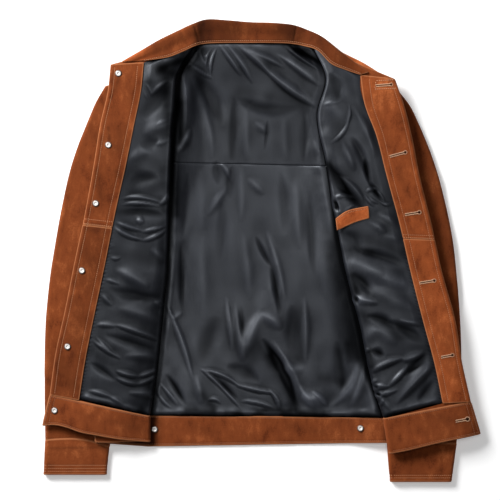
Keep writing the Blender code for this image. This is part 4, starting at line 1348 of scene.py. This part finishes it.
def back_lining():
    """Satin of the back, in two pieces that meet at the cross seam. Returns them by name."""
    down = np.linspace(0.0, 1.0, LINING_ROWS)
    plan = back_plan(down, TUCK_FROM, TUCK_CELLS, MIDDLE_CELLS)
    x, y = plan[..., 0], plan[..., 1]
    base = raised(plan, bed(x, y) + SUEDE + PLY + 0.2)
    normal = upward(base)
    centres = {side: fold_centre(side, down)[:, :1] for side in FRONTS}
    inside = np.minimum(x - centres["left"], centres["right"] - x)
    to_neck, to_hem = both_ways(base, 0)
    to_yoke = np.abs(down - YOKE_SEAM_DOWN)[:, None] * to_neck[-1:]
    free = (smooth((inside - BACK_HELD) / BACK_FREE["fold"])
            * smooth(to_hem / BACK_FREE["hem"]) * smooth(to_neck / BACK_FREE["neck"]))
    form = PUFF + folds_height(BACK_FOLDS, x, y) + crumples(BACK_CRUMPLES, x, y)
    form += 0.4 * bell(inside - 8, 26) * waves(x, y, 15, 33)
    form += 0.5 * smooth((down - 0.7) / 0.3)[:, None] * waves(x, y, 20, 34)
    start = soft_floor(form) * free
    start += hem_ridge(to_hem, x) * smooth(inside / 12)
    start -= YOKE_SEAM_DIP * bell(to_yoke, 1.5)
    radius = tuck_radius(down)[:, None]
    under = radius - np.sqrt(np.clip(radius**2 - np.clip(inside, 0, None) ** 2, 0, None))
    cap = np.where(inside < 0, TUCK_CAP, np.where(inside < radius, TUCK_CAP + under, BACK_CAP))
    start = np.minimum(start, cap)
    point = settle(base, normal, start, cap)
    # Painted light and shade of the satin: darker in its hollows and lighter on crests, along the
    # shade lines and near the hem
    light = openness(((point - base) * normal).sum(-1)) * shade_lines_light(BACK_PAINTED_LIGHT, x, y)
    light *= hem_light(to_hem, x)
    # painted shade in the gutters beside the folds
    for side, centre in centres.items():
        clear = (x - centre) * inward(side) - radius
        width = curve(GUTTERS[side], down)[:, None]
        light *= 1 - GUTTER_SHARE * bell(np.clip(clear, 0, None), width, 3)
    cut = int(round(YOKE_SEAM_DOWN * (len(down) - 1)))
    pieces = {}
    for name, grid in parted(point, cut, 0.08).items():
        shade = light[:cut + 1] if name == "upper" else light[cut:]
        # painted light per piece, with painted highlights on the cross seam's edges
        shade = shade * LINING_PAINTED_LIGHT[name]
        shade[SEAM_ROW[name]] *= YOKE_SEAM_PAINTED_LIGHT[name]
        pieces[name] = piece("satin_back_" + name, "back_lining_" + name, grid, SATIN,
                             SATIN_LOOK, rim=1, tone=shade)
    return pieces


# ---- the suede --------------------------------------------------------------------------------

def facing(side, sewing):
    """The suede facing in its two pieces, with its rows of sewing. Returns them by name."""
    down = np.linspace(0.0, 1.0, FACING_ROWS)
    cells = FACING_CELLS
    grid = front_flat(side, down, ("border", "edge"), cells, SEAM + SUEDE / 2)
    width = travel(grid, 1)[:, -1]
    share = np.linspace(0, 1, cells + 1)[None]
    to_border, to_edge = share * width[:, None], (1 - share) * width[:, None]
    length = travel(grid, 0)
    x, y = grid[..., 0], grid[..., 1]
    inner = np.full(len(down), FACING_BORDER_LINE)
    if side == "right":
        inner = mix(FACING_BORDER_LINE_TOP, FACING_BORDER_LINE, smooth(down / 0.35))
    inner_line = to_border - inner[:, None]
    outer_line = to_edge - FACING_EDGE_LINE
    shape = ripple("facing", x, y) - edge_roll("facing", to_edge)
    for line, row, size, seed in ((outer_line, 3.3, 11, 42), (inner_line, 7.7, 12, 43)):
        shape += (LINE_PUCKER * waves(length, x * 0 + row, size, seed)
                  * bell(line, LINE_PUCKER_REACH))
    grid[..., 2] += shape + LINE_PUCKER
    seam = FACING_SEAM_DOWN[side]
    to_seam = (down - seam)[:, None] * length[-1:]
    depth = groove(inner_line) + groove(outer_line) + grooves(to_seam, FACING_SEAM_LINES[side])
    cut = int(round(seam * (len(down) - 1)))
    face = sewn_face(grid, upward(grid), SUEDE)
    keep = np.arange(3, len(down) - 2)
    sewing.on(face, keep, inner[keep] / width[keep] * cells)
    sewing.on(face, keep, (1 - FACING_EDGE_LINE / width[keep]) * cells)
    per_row = length[-1, 0] / (len(down) - 1)
    for line in FACING_SEAM_LINES[side]:
        sewing.on(face, cut + line / per_row, np.linspace(0.6, cells - 0.6, 60))
    pieces = {}
    # each piece drawn lighter or darker by its painted light
    for name, part in parted(grid, cut, 0.5).items():
        sink = depth[:cut + 1] if name == "upper" else depth[cut:]
        pieces[name] = piece("facing_skin_%s_%s" % (side, name), "facing_%s_%s" % (side, name),
                             part, SUEDE, SUEDE_LOOK, tone=FACING_PAINTED_LIGHT[side][name], depth=sink)
    return pieces


def front_outer(side):
    """The front's suede, from the side seam round the fold to just inside its front edge."""
    down = np.linspace(0.0, 1.0, FRONT_ROWS)
    under = side_rows(side, down, np.linspace(0, 1, 17)[:-1])
    lower = raised(under, bed(under[..., 0], under[..., 1]) + FRONT_Z + SUEDE / 2)
    arc = front_arc(side, down, -SUEDE / 2, 8)
    upper = front_flat(side, down, ("centre", "edge"), 44, -SUEDE / 2)
    upper[:, -1] += (upper[:, -2] - upper[:, -1]) * 0.6
    grid = np.concatenate((lower, arc, upper[:, 1:]), 1)
    piece("front_skin_" + side, "front_outer_" + side, grid, SUEDE, SUEDE_LOOK)


def back_outer():
    """The back's suede, which follows what is beneath it."""
    plan = back_plan(np.linspace(0.0, 1.0, BACK_ROWS), 0.0, 20, 44)
    grid = raised(plan, lift(plan[..., 0], plan[..., 1]) + SUEDE / 2)
    piece("back_skin", "back_outer", grid, SUEDE, SUEDE_LOOK)


def band_depth(x):
    """Depth of the waistband's back."""
    left, right = (front_point(side, "fold", np.array([1.0]))[0, 0] for side in FRONTS)
    return mix(BAND_DEPTHS["left"], BAND_DEPTHS["right"],
               np.clip((x - left) / (right - left), 0, 1))


def back_band(sewing):
    """The waistband across the back."""
    top = back_plan(np.array([1.0]), 0.0, 40, 260)[0]
    last = BACK_BAND_ROWS - 1
    share = np.linspace(BAND_START, 1, BACK_BAND_ROWS)[:, None]
    deep = band_depth(top[:, 0])[None]
    x = np.repeat(top[None, :, 0], BACK_BAND_ROWS, 0)
    y = top[None, :, 1] - share * deep
    z = lift(x, y) + BAND / 2 + ripple("back_band", x, y) + 0.5
    grid = np.stack((x, y, z), -1)
    depth = groove(share * deep - BAND_TOP_LINE) + groove((1 - share) * deep - BAND_LOW_LINE)
    # painted shadow beside the fronts' folds
    light = np.ones(x.shape)
    for side, (start, reach, dark) in BAND_FOLD_SHADOWS.items():
        light *= 1 - dark * bell(np.clip((x - start) * inward(side), 0, None), reach)
    obj = piece("band_skin_back", "hem_band_back", grid, BAND, SUEDE_LOOK, depth=depth,
                tone=light)
    face = sewn_face(grid, upward(grid), BAND)
    columns = np.linspace(2, grid.shape[1] - 3, 900)
    deep_at = deep[0][np.round(columns).astype(int)]
    sewing.on(face, BAND_TOP_LINE / deep_at * last, columns)
    sewing.on(face, last - BAND_LOW_LINE / deep_at * last, columns)
    return obj


def front_band(side, sewing):
    """The waistband's end, round the fold with the front."""
    one = np.array([1.0])
    stand_out = 0.1
    lower = side_rows(side, one, np.linspace(0, 1, BAND_UNDER))[0]
    centre = fold_centre(side, one)[0]
    radius = fold_radius(1.0)
    reach = radius + stand_out
    angle = np.linspace(-math.pi / 2, math.pi / 2, BAND_ARC + 2)[1:-1]
    arc_x = centre[0] + inward(side) * reach * np.cos(angle)
    edge = front_point(side, "edge", one)[0]
    upper = centre + (edge - centre) * np.linspace(0, 1, BAND_OVER)[:, None]
    plan = np.concatenate((lower, np.stack((arc_x, np.full(BAND_ARC, centre[1])), -1), upper))
    rise = np.concatenate((np.full(BAND_UNDER, FRONT_Z - stand_out),
                           FRONT_Z + radius + reach * np.sin(angle),
                           np.full(BAND_OVER, front_top(1.0) + stand_out)))
    j = np.arange(len(plan))
    over = j >= BAND_UNDER + BAND_ARC
    rise = rise - np.where(over, hang(side, lower[0, 0], plan[:, 0]), 0)
    ends = BAND_BOTTOMS[side]
    side_shift = np.array((0.0, -BAND_DEPTHS[side]))
    fold_shift = np.array((ends.fold_x, ends.fold_y)) - front_point(side, "fold", one)[0]
    edge_shift = np.array((ends.corner_x, ends.corner_y)) - edge
    along = ((plan[:, 0] - centre[0]) / (edge[0] - centre[0]))[:, None]
    turned = smooth(j / (BAND_UNDER - 1))[:, None]
    shift = np.where(over[:, None], fold_shift + (edge_shift - fold_shift) * along,
                     side_shift + (fold_shift - side_shift) * turned)
    last = FRONT_BAND_ROWS - 1
    share = np.linspace(BAND_START, 1, FRONT_BAND_ROWS)
    points = plan[None] + shift[None] * share[:, None, None]
    points[..., 1] += curve(BAND_WAVES[side], points[..., 0]) * smooth(share)[:, None] * over
    x, y = points[..., 0], points[..., 1]
    grid = raised(points, lift(x, y) + 0.6 + rise[None] + ripple("front_band", x, y))
    from_top, to_bottom = both_ways(grid, 0)
    to_end = both_ways(grid, 1)[1]
    depth = groove(from_top - BAND_TOP_LINE) + groove(to_bottom - BAND_LOW_LINE)
    depth += grooves(to_end, BAND_END_LINES)
    grid[..., 2] -= edge_roll("band", to_end)
    # drawn lighter or darker by the band's painted light
    obj = piece("band_skin_" + side, "hem_band_" + side, grid, BAND, SUEDE_LOOK, depth=depth,
                tone=BAND_PAINTED_LIGHT[side])
    face = sewn_face(grid, upward(grid), BAND)
    columns = np.linspace(BAND_UNDER + BAND_ARC + 2, grid.shape[1] - 2.2, 400)
    tall = from_top[-1][np.round(columns).astype(int)]
    sewing.on(face, BAND_TOP_LINE / tall * last, columns)
    sewing.on(face, last - BAND_LOW_LINE / tall * last, columns)
    per_column = to_end[:, -2].mean()
    for line in BAND_END_LINES:
        sewing.on(face, np.linspace(1, last - 1, 60), grid.shape[1] - 1 - line / per_column)
    return obj


def tube(centre_y, outer_x, inner_x, height, around):
    """Rings of a flattened tube lying on the table: rows by points round each."""
    low, high = np.minimum(outer_x, inner_x)[:, None], np.maximum(outer_x, inner_x)[:, None]
    radius = height / 2
    share = np.linspace(0, 1, around, endpoint=False)[None]
    flat = (high - low) - 2 * radius
    arc = math.pi * radius
    at = share * (2 * flat + 2 * arc)
    left, right = low + radius, high - radius
    left_turn = math.pi / 2 + at / radius
    right_turn = -math.pi / 2 + (at - arc - flat) / radius
    stretches = [at < arc, at < arc + flat, at < 2 * arc + flat]
    x = np.select(stretches, [left + radius * np.cos(left_turn), left + (at - arc),
                              right + radius * np.cos(right_turn)],
                  right - (at - 2 * arc - flat))
    z = np.select(stretches, [radius + radius * np.sin(left_turn), 0 * at,
                              radius + radius * np.sin(right_turn)], 2 * radius)
    y = np.repeat(centre_y[:, None], around, 1)
    return np.stack((x, y, z), -1)[:, ::-1]


def wall_middle(grid, normal, wall):
    """Middle of a tube's wall, from its outer face, and no lower than the table allows."""
    middle = grid - normal * (wall / 2)
    middle[..., 2] = np.maximum(middle[..., 2], wall / 2)
    return middle


def sleeve(side):
    """A flattened sleeve, from under the shoulder to the cuff's seam."""
    rows = SLEEVES[side]
    y = np.linspace(rows[0].y, rows[-1].y, SLEEVE_ROWS)
    grid = tube(y, read(rows, "y", "outer_x", y), read(rows, "y", "inner_x", y), SLEEVE_HEIGHT,
                SLEEVE_AROUND)
    near_cuff = smooth(1 - (y - rows[-1].y) / 30)[:, None]
    grid[..., 1] += curve(CUFF_SEAMS[side], grid[..., 0]) * near_cuff
    x, y = grid[..., 0], grid[..., 1]
    normal = normals(grid, True)
    upper = smooth((grid[..., 2] - 4) / 4)
    form = ripple("sleeve", x, y) + ripple("sleeve_small", x, y)
    grid = grid + normal * (form * upper - 0.3)[..., None]
    grid[..., 2] = np.maximum(grid[..., 2], SLEEVE_WALL / 2)
    # drawn lighter or darker by the sleeve's painted light, darker on the right
    piece("sleeve_skin_" + side, "sleeve_" + side, wall_middle(grid, normal, SLEEVE_WALL),
          SLEEVE_WALL, SUEDE_LOOK, closed=True, tone=SLEEVE_PAINTED_LIGHT[side])


def cuff(side, sewing):
    """A flattened cuff, with the rows of sewing on its upper half."""
    ends = CUFFS[side]
    t = np.linspace(0, 1, CUFF_ROWS)
    y = mix(SLEEVES[side][-1].y - SEAM - SUEDE / 2, ends.bottom_y + 1.0, t)
    grid = tube(y, mix(ends.top_outer, ends.bottom_outer, t),
                mix(ends.top_inner, ends.bottom_inner, t), CUFF_HEIGHT, CUFF_AROUND)
    grid[..., 1] += curve(CUFF_SEAMS[side], grid[..., 0]) * (1 - smooth(t / 0.6))[:, None]
    normal = normals(grid, True)
    upper = smooth((grid[..., 2] - 4) / 4)
    form = ripple("cuff", grid[..., 0], grid[..., 1]) * upper
    grid = grid + normal * form[..., None]
    middle = wall_middle(grid, normal, CUFF_WALL)
    from_top, to_bottom = both_ways(middle, 0)
    piece("cuff_skin_" + side, "cuff_" + side, middle, CUFF_WALL, SUEDE_LOOK, closed=True,
          depth=grooves(to_bottom, CUFF_LINES[side]))
    normal = normals(middle, True)
    face = sewn_face(middle, normal, CUFF_WALL)
    columns = np.arange(0, CUFF_AROUND, 0.25)
    columns = columns[sample(face, 20.0, columns)[:, 2] > CUFF_STITCH_FROM]
    last = CUFF_ROWS - 1
    for line in CUFF_LINES[side]:
        row = last - line / (from_top[-1].mean() / last)
        sewing.line(sample(face, row, columns), sample(normal, row, columns))


def nearest_columns(distance, line, rows):
    """Fractional columns at which a distance along the rows reaches a line, for each row."""
    return np.array([np.interp(line, distance[int(row)], np.arange(distance.shape[1]))
                     for row in rows])


def neck_level(neck, seam):
    """Height of the cloth under the collar's seam, smoothed along it."""
    level = tops(trees_of(neck), seam, 4.0)
    level = np.array([level[max(k - 6, 0):k + 7].max() for k in range(len(level))])
    kernel = bell(np.arange(-12, 13), 6.0)
    return np.convolve(np.pad(level, 12, mode="edge"), kernel / kernel.sum(), "valid")


def collar(neck, sewing):
    """The stand from the neck seam to its roll, and the leaf folded behind it."""
    t = np.linspace(0, len(COLLAR) - 1, COLLAR_COLUMNS)

    def column(name):
        return curve_value(range(len(COLLAR)), [getattr(row, name) for row in COLLAR], t)

    def line(name):
        return np.stack((column(name + "_x"), column(name + "_y")), -1)

    seam, roll, leaf_z = line("seam"), line("roll"), column("leaf_z")
    top = neck_level(neck, seam) + SUEDE / 2 + SEAM
    width = np.linalg.norm(roll - seam, axis=1)
    out = (roll - seam) / width[:, None]
    radius = np.minimum(np.minimum(ROLL_RADIUS, ROLL_SHARE * width),
                        (top - leaf_z - SUEDE - SEAM) / 2)
    radius = np.maximum(radius - SUEDE / 2, 0.6)
    centre = roll - out * (radius + SUEDE / 2)[:, None]
    sections = []
    for share in np.linspace(0, 1, STAND_CELLS + 1):
        dip = -1.6 * math.sin(math.pi * min(share * 1.15, 1)) ** 2
        sections.append(raised(seam + (centre - seam) * share,
                               top + dip * smooth(width / 30 - 0.2)))
    for k in range(1, 10):
        angle = math.pi / 2 - math.pi * k / 9
        sections.append(raised(centre + out * (radius * math.cos(angle))[:, None],
                               top - radius + radius * math.sin(angle)))
    for k in range(1, 5):
        under = (TURN_UNDER * k / 4) * smooth(width / 26 - 0.3)
        sections.append(raised(centre - out * under[:, None], top - 2 * radius))
    grid = np.stack(sections, 1)
    x, y = grid[..., 0], grid[..., 1]
    grid[..., 2] += ripple("collar", x, y)
    rise = y - seam[:, 1][:, None]
    for at, lean, half, deep in COLLAR_CREASES:
        grid[..., 2] -= deep * bell(x - at - lean * rise, half) * smooth(rise / 8)
    grid[..., 2] = np.maximum(grid[..., 2], SUEDE / 2 + 0.1)
    across = travel(grid, 1)
    # painted light and shade along the collar, darkest at its creases
    piece("collar_skin_stand", "collar_stand", grid, SUEDE, SUEDE_LOOK,
          depth=groove(across - STAND_LINE), tone=curve(COLLAR_PAINTED_LIGHT, x))
    stand = grid[:, :STAND_CELLS]
    normal = upward(stand)
    face = sewn_face(stand, normal, SUEDE)
    rows = np.linspace(1, len(t) - 2, 1200)
    near = nearest_columns(across, STAND_LINE, rows)
    sewing.line(sample(face, rows, near), sample(normal, rows, near))
    leaf_share = np.linspace(0, 1, LEAF_CELLS)
    fall = np.where(leaf_share < 0.3, mix(1.0, 0.2, smooth(leaf_share / 0.3)),
                    0.2 * (1 - smooth((leaf_share - 0.3) / 0.7)))
    leaf = raised(between(line("leaf"), line("inner"), leaf_share),
                  SUEDE / 2 + 0.1 + leaf_z[:, None] * fall[None])
    across = travel(leaf, 1)
    # the leaf drawn lighter, as painted light
    piece("collar_skin_leaf", "collar_leaf", leaf, SUEDE, SUEDE_LOOK,
          depth=groove(across - LEAF_LINE), tone=LEAF_PAINTED_LIGHT)
    rows = np.linspace(170, len(t) - 3, 300)
    sewing.on(sewn_face(leaf, upward(leaf), SUEDE), rows, nearest_columns(across, LEAF_LINE, rows))


# ---- buttonholes, welt and tacks --------------------------------------------------------------

def buttonhole(hole, ground, sewing, points, faces):
    """A keyhole: a slit with an eye, filled with a dark sheet as painted shadow and added to the
    slits' points and faces, and the purl stitches round it."""
    inner, eye = place(hole.inner_px, hole.inner_py), place(hole.eye_px, hole.eye_py)
    length = np.linalg.norm(eye - inner)
    along = (eye - inner) / length
    across = np.array((-along[1], along[0]))
    turn = np.linspace(-0.75 * math.pi, 0.75 * math.pi, 15)
    ring = np.stack((length + hole.eye * np.cos(turn), hole.eye * np.sin(turn)), -1)
    straight = np.linspace(0, length - 1.2 * hole.eye, 24)[:, None]
    side = np.concatenate((straight, np.full_like(straight, SLIT_HALF)), 1)
    outline = np.concatenate((side * (1, -1), ring, side[::-1]))
    flat = inner + outline[:, :1] * along + outline[:, 1:] * across
    rim = raised(flat, tops(ground, flat) + 0.06)
    count, n = len(points), len(rim)
    points.extend(rim.tolist() + (rim - (0, 0, SLIT_DEPTH)).tolist())
    middle = n // 2
    upper = [(k, k + 1, n - 2 - k, n - 1 - k) for k in range(middle - 1)]
    upper.append((middle - 1, middle, middle + 1))
    faces.extend(tuple(count + k for k in face) for face in upper)
    faces.extend(tuple(count + n + k for k in reversed(face)) for face in upper)
    faces.extend((count + k, count + n + k, count + n + (k + 1) % n, count + (k + 1) % n)
                 for k in range(n))
    step = np.gradient(rim, axis=0)
    out = unit(np.stack((step[:, 1], -step[:, 0], 0 * step[:, 0]), -1))
    distance = travel(rim, 0)
    for at in np.arange(0.3, distance[-1], PURL_PITCH):
        foot, way = (np.array([np.interp(at, distance, values[:, k]) for k in range(3)])
                     for values in (rim, out))
        path = np.stack((foot, foot + way * PURL_LENGTH))
        sewing.line(path, np.array((UP, UP)), pitch=0.98 * PURL_LENGTH, length=PURL_LENGTH,
                    radius=PURL_THREAD, sink=0.05)


def buttonholes(ground, sewing):
    """All the buttonholes, and the stitched box round the first."""
    trees = trees_of(ground)
    points, faces = [], []
    for hole in BUTTONHOLES:
        buttonhole(hole, trees, sewing, points, faces)
    for ends in BOX_LINES:
        start, end = place(*np.array(ends).T)
        line = start + (end - start) * np.linspace(0, 1, 40)[:, None]
        sewing.line(raised(line, tops(trees, line)), np.array((UP,) * len(line)))
    # painted shadow in the slits
    add_mesh("buttonhole_slit_shadows", points, faces, SLIT_SHADOW_LOOK)


def welt(lining, sewing):
    """The pocket's strip of suede, on the right front lining."""
    tree = trees_of([lining])
    t = np.linspace(0, 1, WELT_ROWS)
    upper, lower = (place(*(curve_value(WELT_SHARES, values, t) for values in np.array(row).T))
                    for row in (WELT_UPPER, WELT_LOWER))
    share = np.linspace(0, 1, WELT_CELLS)
    plan = between(upper, lower, share)
    level = np.array([tops(tree, row) for row in plan])
    level = np.maximum(level, level.mean() - 1.0)
    for axis in (0, 1):
        for _ in range(6):
            level = (level + np.roll(level, 1, axis) + np.roll(level, -1, axis)) / 3
    base = np.array([tops(tree, row, 2.0) for row in plan])
    bulge = 0.8 * np.sin(math.pi * share)[None]
    grid = raised(plan, np.maximum(level, base) + SEAM + WELT_WALL / 2 + bulge)
    to_edge = travel(grid, 1)
    # the welt drawn lighter, as painted light
    piece("welt_skin", "pocket_welt", grid, WELT_WALL, SUEDE_LOOK, tone=WELT_PAINTED_LIGHT,
          depth=groove(to_edge - WELT_LINE, 1.1, 0.4))
    rows = np.linspace(1, WELT_ROWS - 2, 120)
    sewing.on(sewn_face(grid, upward(grid), WELT_WALL, 0.6), rows,
              nearest_columns(to_edge, WELT_LINE, rows), pitch=2.6, length=2.0)


def tack(number, x, y, trees):
    """Turned back of a tack button, with its dimple."""
    level = top_at(trees, x, y, TACK_RADIUS) + SEAM * 0.3
    profile = TACK_PROFILE[1:-1]
    turn = np.arange(TACK_SIDES)
    points, faces = [], []
    for radius, height in profile:
        for k in range(TACK_SIDES):
            angle = 2 * math.pi * k / TACK_SIDES
            points.append((x + radius * math.cos(angle), y + radius * math.sin(angle),
                           level + height))
    points += [(x, y, level + TACK_PROFILE[0][1]), (x, y, level)]
    rings = len(profile)
    middle, last_ring = rings * TACK_SIDES, (rings - 1) * TACK_SIDES
    for k, n in zip(turn.tolist(), np.roll(turn, -1).tolist()):
        faces += [(r + k, r + TACK_SIDES + k, r + TACK_SIDES + n, r + n)
                  for r in range(0, last_ring, TACK_SIDES)]
        faces.append((middle, k, n))
        faces.append((middle + 1, last_ring + n, last_ring + k))
    radii = np.array([radius for radius, _ in profile] + [0.0, 0.0])
    # painted shade on the rim
    rim = np.repeat(smooth((radii - TACK_FACE) / 0.8), [TACK_SIDES] * rings + [1, 1])
    obj = add_mesh("tack_back_%d" % number, points, faces, METAL_LOOK, (("rim", rim),))
    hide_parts("tack_%d" % number)


# ---- assembly ---------------------------------------------------------------------------------

# Each piece of cloth as it is cut for what shows, in metres and square metres
Cut = namedtuple("Cut", "piece width length area held rests_on goes_with", defaults=((),))

CUTS = table(
    Cut,
    ("back_skin", 0.573, 0.605, 0.305, "laid",
     ("floor", "sleeve_skin_left", "sleeve_skin_right", "collar_skin_leaf")),
    ("satin_back_upper", 0.312, 0.205, 0.0567, "laid", ("back_skin",)),
    ("satin_back_lower", 0.418, 0.409, 0.1487, "laid", ("back_skin",)),
    ("front_skin_left", 0.295, 0.600, 0.142, "folded", ("back_skin", "satin_back_lower")),
    ("front_skin_right", 0.312, 0.600, 0.1506, "folded", ("back_skin", "satin_back_lower")),
    ("satin_front_left", 0.135, 0.600, 0.0574, "laid", ("front_skin_left",)),
    ("satin_front_right", 0.122, 0.600, 0.0604, "laid", ("front_skin_right",)),
    ("facing_skin_left_upper", 0.056, 0.268, 0.0140, "laid", ("front_skin_left",),
     ("stitching_front_left",)),
    ("facing_skin_left_lower", 0.057, 0.284, 0.0140, "laid", ("front_skin_left",)),
    ("facing_skin_right_upper", 0.064, 0.270, 0.0148, "laid", ("front_skin_right",),
     ("stitching_front_right", "stitching_buttonholes", "buttonhole_slit_shadows")),
    ("facing_skin_right_lower", 0.052, 0.267, 0.0132, "laid", ("front_skin_right",)),
    ("band_skin_back", 0.556, 0.050, 0.0264, "laid",
     ("floor", "sleeve_skin_left", "sleeve_skin_right"), ("stitching_hem",)),
    ("band_skin_left", 0.266, 0.050, 0.0128, "folded", ("band_skin_back",)),
    ("band_skin_right", 0.253, 0.056, 0.0135, "folded", ("band_skin_back",)),
    ("collar_skin_stand", 0.440, 0.052, 0.0189, "folded",
     ("satin_back_upper", "facing_skin_left_upper", "facing_skin_right_upper"),
     ("stitching_collar",)),
    ("collar_skin_leaf", 0.450, 0.052, 0.0191, "laid", ("floor",)),
    ("sleeve_skin_left", 0.330, 0.580, 0.149, "laid", ("floor",)),
    ("sleeve_skin_right", 0.335, 0.570, 0.152, "laid", ("floor",)),
    ("cuff_skin_left", 0.222, 0.057, 0.0118, "laid", ("floor",), ("stitching_cuffs",)),
    ("cuff_skin_right", 0.236, 0.063, 0.0138, "laid", ("floor",)),
    ("welt_skin", 0.056, 0.022, 0.0012, "laid", ("satin_front_right",), ("stitching_welt",)),
)


def build():
    """All the pieces, the sewing last, when every line is gathered."""
    sewing = {name: Sewing() for name in ("front_left", "front_right", "hem", "cuffs", "collar",
                                          "welt", "buttonholes")}
    linings, facings, bands = {}, {}, {}
    for side in FRONTS:
        linings[side] = front_lining(side)
        facings[side] = facing(side, sewing["front_" + side])
        front_outer(side)
        bands[side] = front_band(side, sewing["hem"])
        sleeve(side)
        cuff(side, sewing["cuffs"])
    back = back_lining()
    back_outer()
    hem = back_band(sewing["hem"])
    neck = [back["upper"], *linings.values(), *(pair["upper"] for pair in facings.values())]
    collar(neck, sewing["collar"])
    welt(linings["right"], sewing["welt"])
    buttonholes([*facings["right"].values(), bands["right"]], sewing["buttonholes"])
    under = trees_of([*facings["left"].values(), bands["left"], hem])
    for number, (x, y) in enumerate(TACKS, 1):
        tack(number, x, y, under)
    for name, gathered in sewing.items():
        look = {"buttonholes": PURL_LOOK, "hem": TONAL_LOOK}.get(name, THREAD_LOOK)
        gathered.make("stitching_" + name, look)
    for name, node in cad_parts.items():
        if name.startswith("button_"):
            node.data.materials.clear()
            node.data.materials.append(METAL_LOOK)


build()


# ---- floor, light and camera ------------------------------------------------------------------

FLOOR_HALF = 4.0        # metres, as everything below
FLOOR_Z = -0.0005
KEY = ("key", (-1.75, 1.65, 1.55), 1.25, 150)       # name, place, size of a side, watts
TOP = ("top", (0.25, 0.50, 4.2), 1.4, 26)
SKY = 0.09
CAMERA_AT = (-0.0184, 0.0008, 5.0)
CAMERA_LENS = 225       # millimetres
CAMERA_SENSOR = 36


def floor():
    """A pale table, a little lit from within."""
    look = grained_material("floor", 300, (0.90, 0.90, 0.90), (0.93, 0.93, 0.93), {
        "Roughness": 0.9, "Specular IOR Level": 0.1, "Emission Color": (1, 1, 1),
        "Emission Strength": 0.28})
    mesh = bpy.data.meshes.new("floor")
    corners = [(-1, -1), (1, -1), (1, 1), (-1, 1)]
    mesh.from_pydata([(x * FLOOR_HALF, y * FLOOR_HALF, 0) for x, y in corners], [],
                     [(0, 1, 2, 3)])
    mesh.materials.append(look)
    obj = link_object("floor", mesh)
    obj.location.z = FLOOR_Z


def softbox(name, place_at, size, power):
    """A square area light that faces the middle of the floor."""
    light = bpy.data.lights.new(name, "AREA")
    light.shape = "RECTANGLE"
    light.size = light.size_y = size
    light.energy = power
    obj = link_object(name, light)
    obj.location = place_at
    obj.rotation_mode = "QUATERNION"
    obj.rotation_quaternion = (-Vector(place_at)).to_track_quat("-Z", "Y")


def stage():
    """Floor, light and the camera overhead."""
    floor()
    world = bpy.data.worlds.new("studio")
    world.use_nodes = True
    sky = world.node_tree.nodes["Background"]
    dress(world.node_tree, sky, {"Color": (1.0, 1.0, 1.0), "Strength": SKY})
    bpy.context.scene.world = world
    softbox(*KEY)
    softbox(*TOP)
    camera = bpy.data.cameras.new("camera")
    camera.lens = CAMERA_LENS
    camera.sensor_width = CAMERA_SENSOR
    camera.dof.use_dof = False
    obj = link_object("camera", camera)
    obj.location = CAMERA_AT
    bpy.context.scene.camera = obj
    bpy.context.scene.view_settings.view_transform = "Standard"


stage()
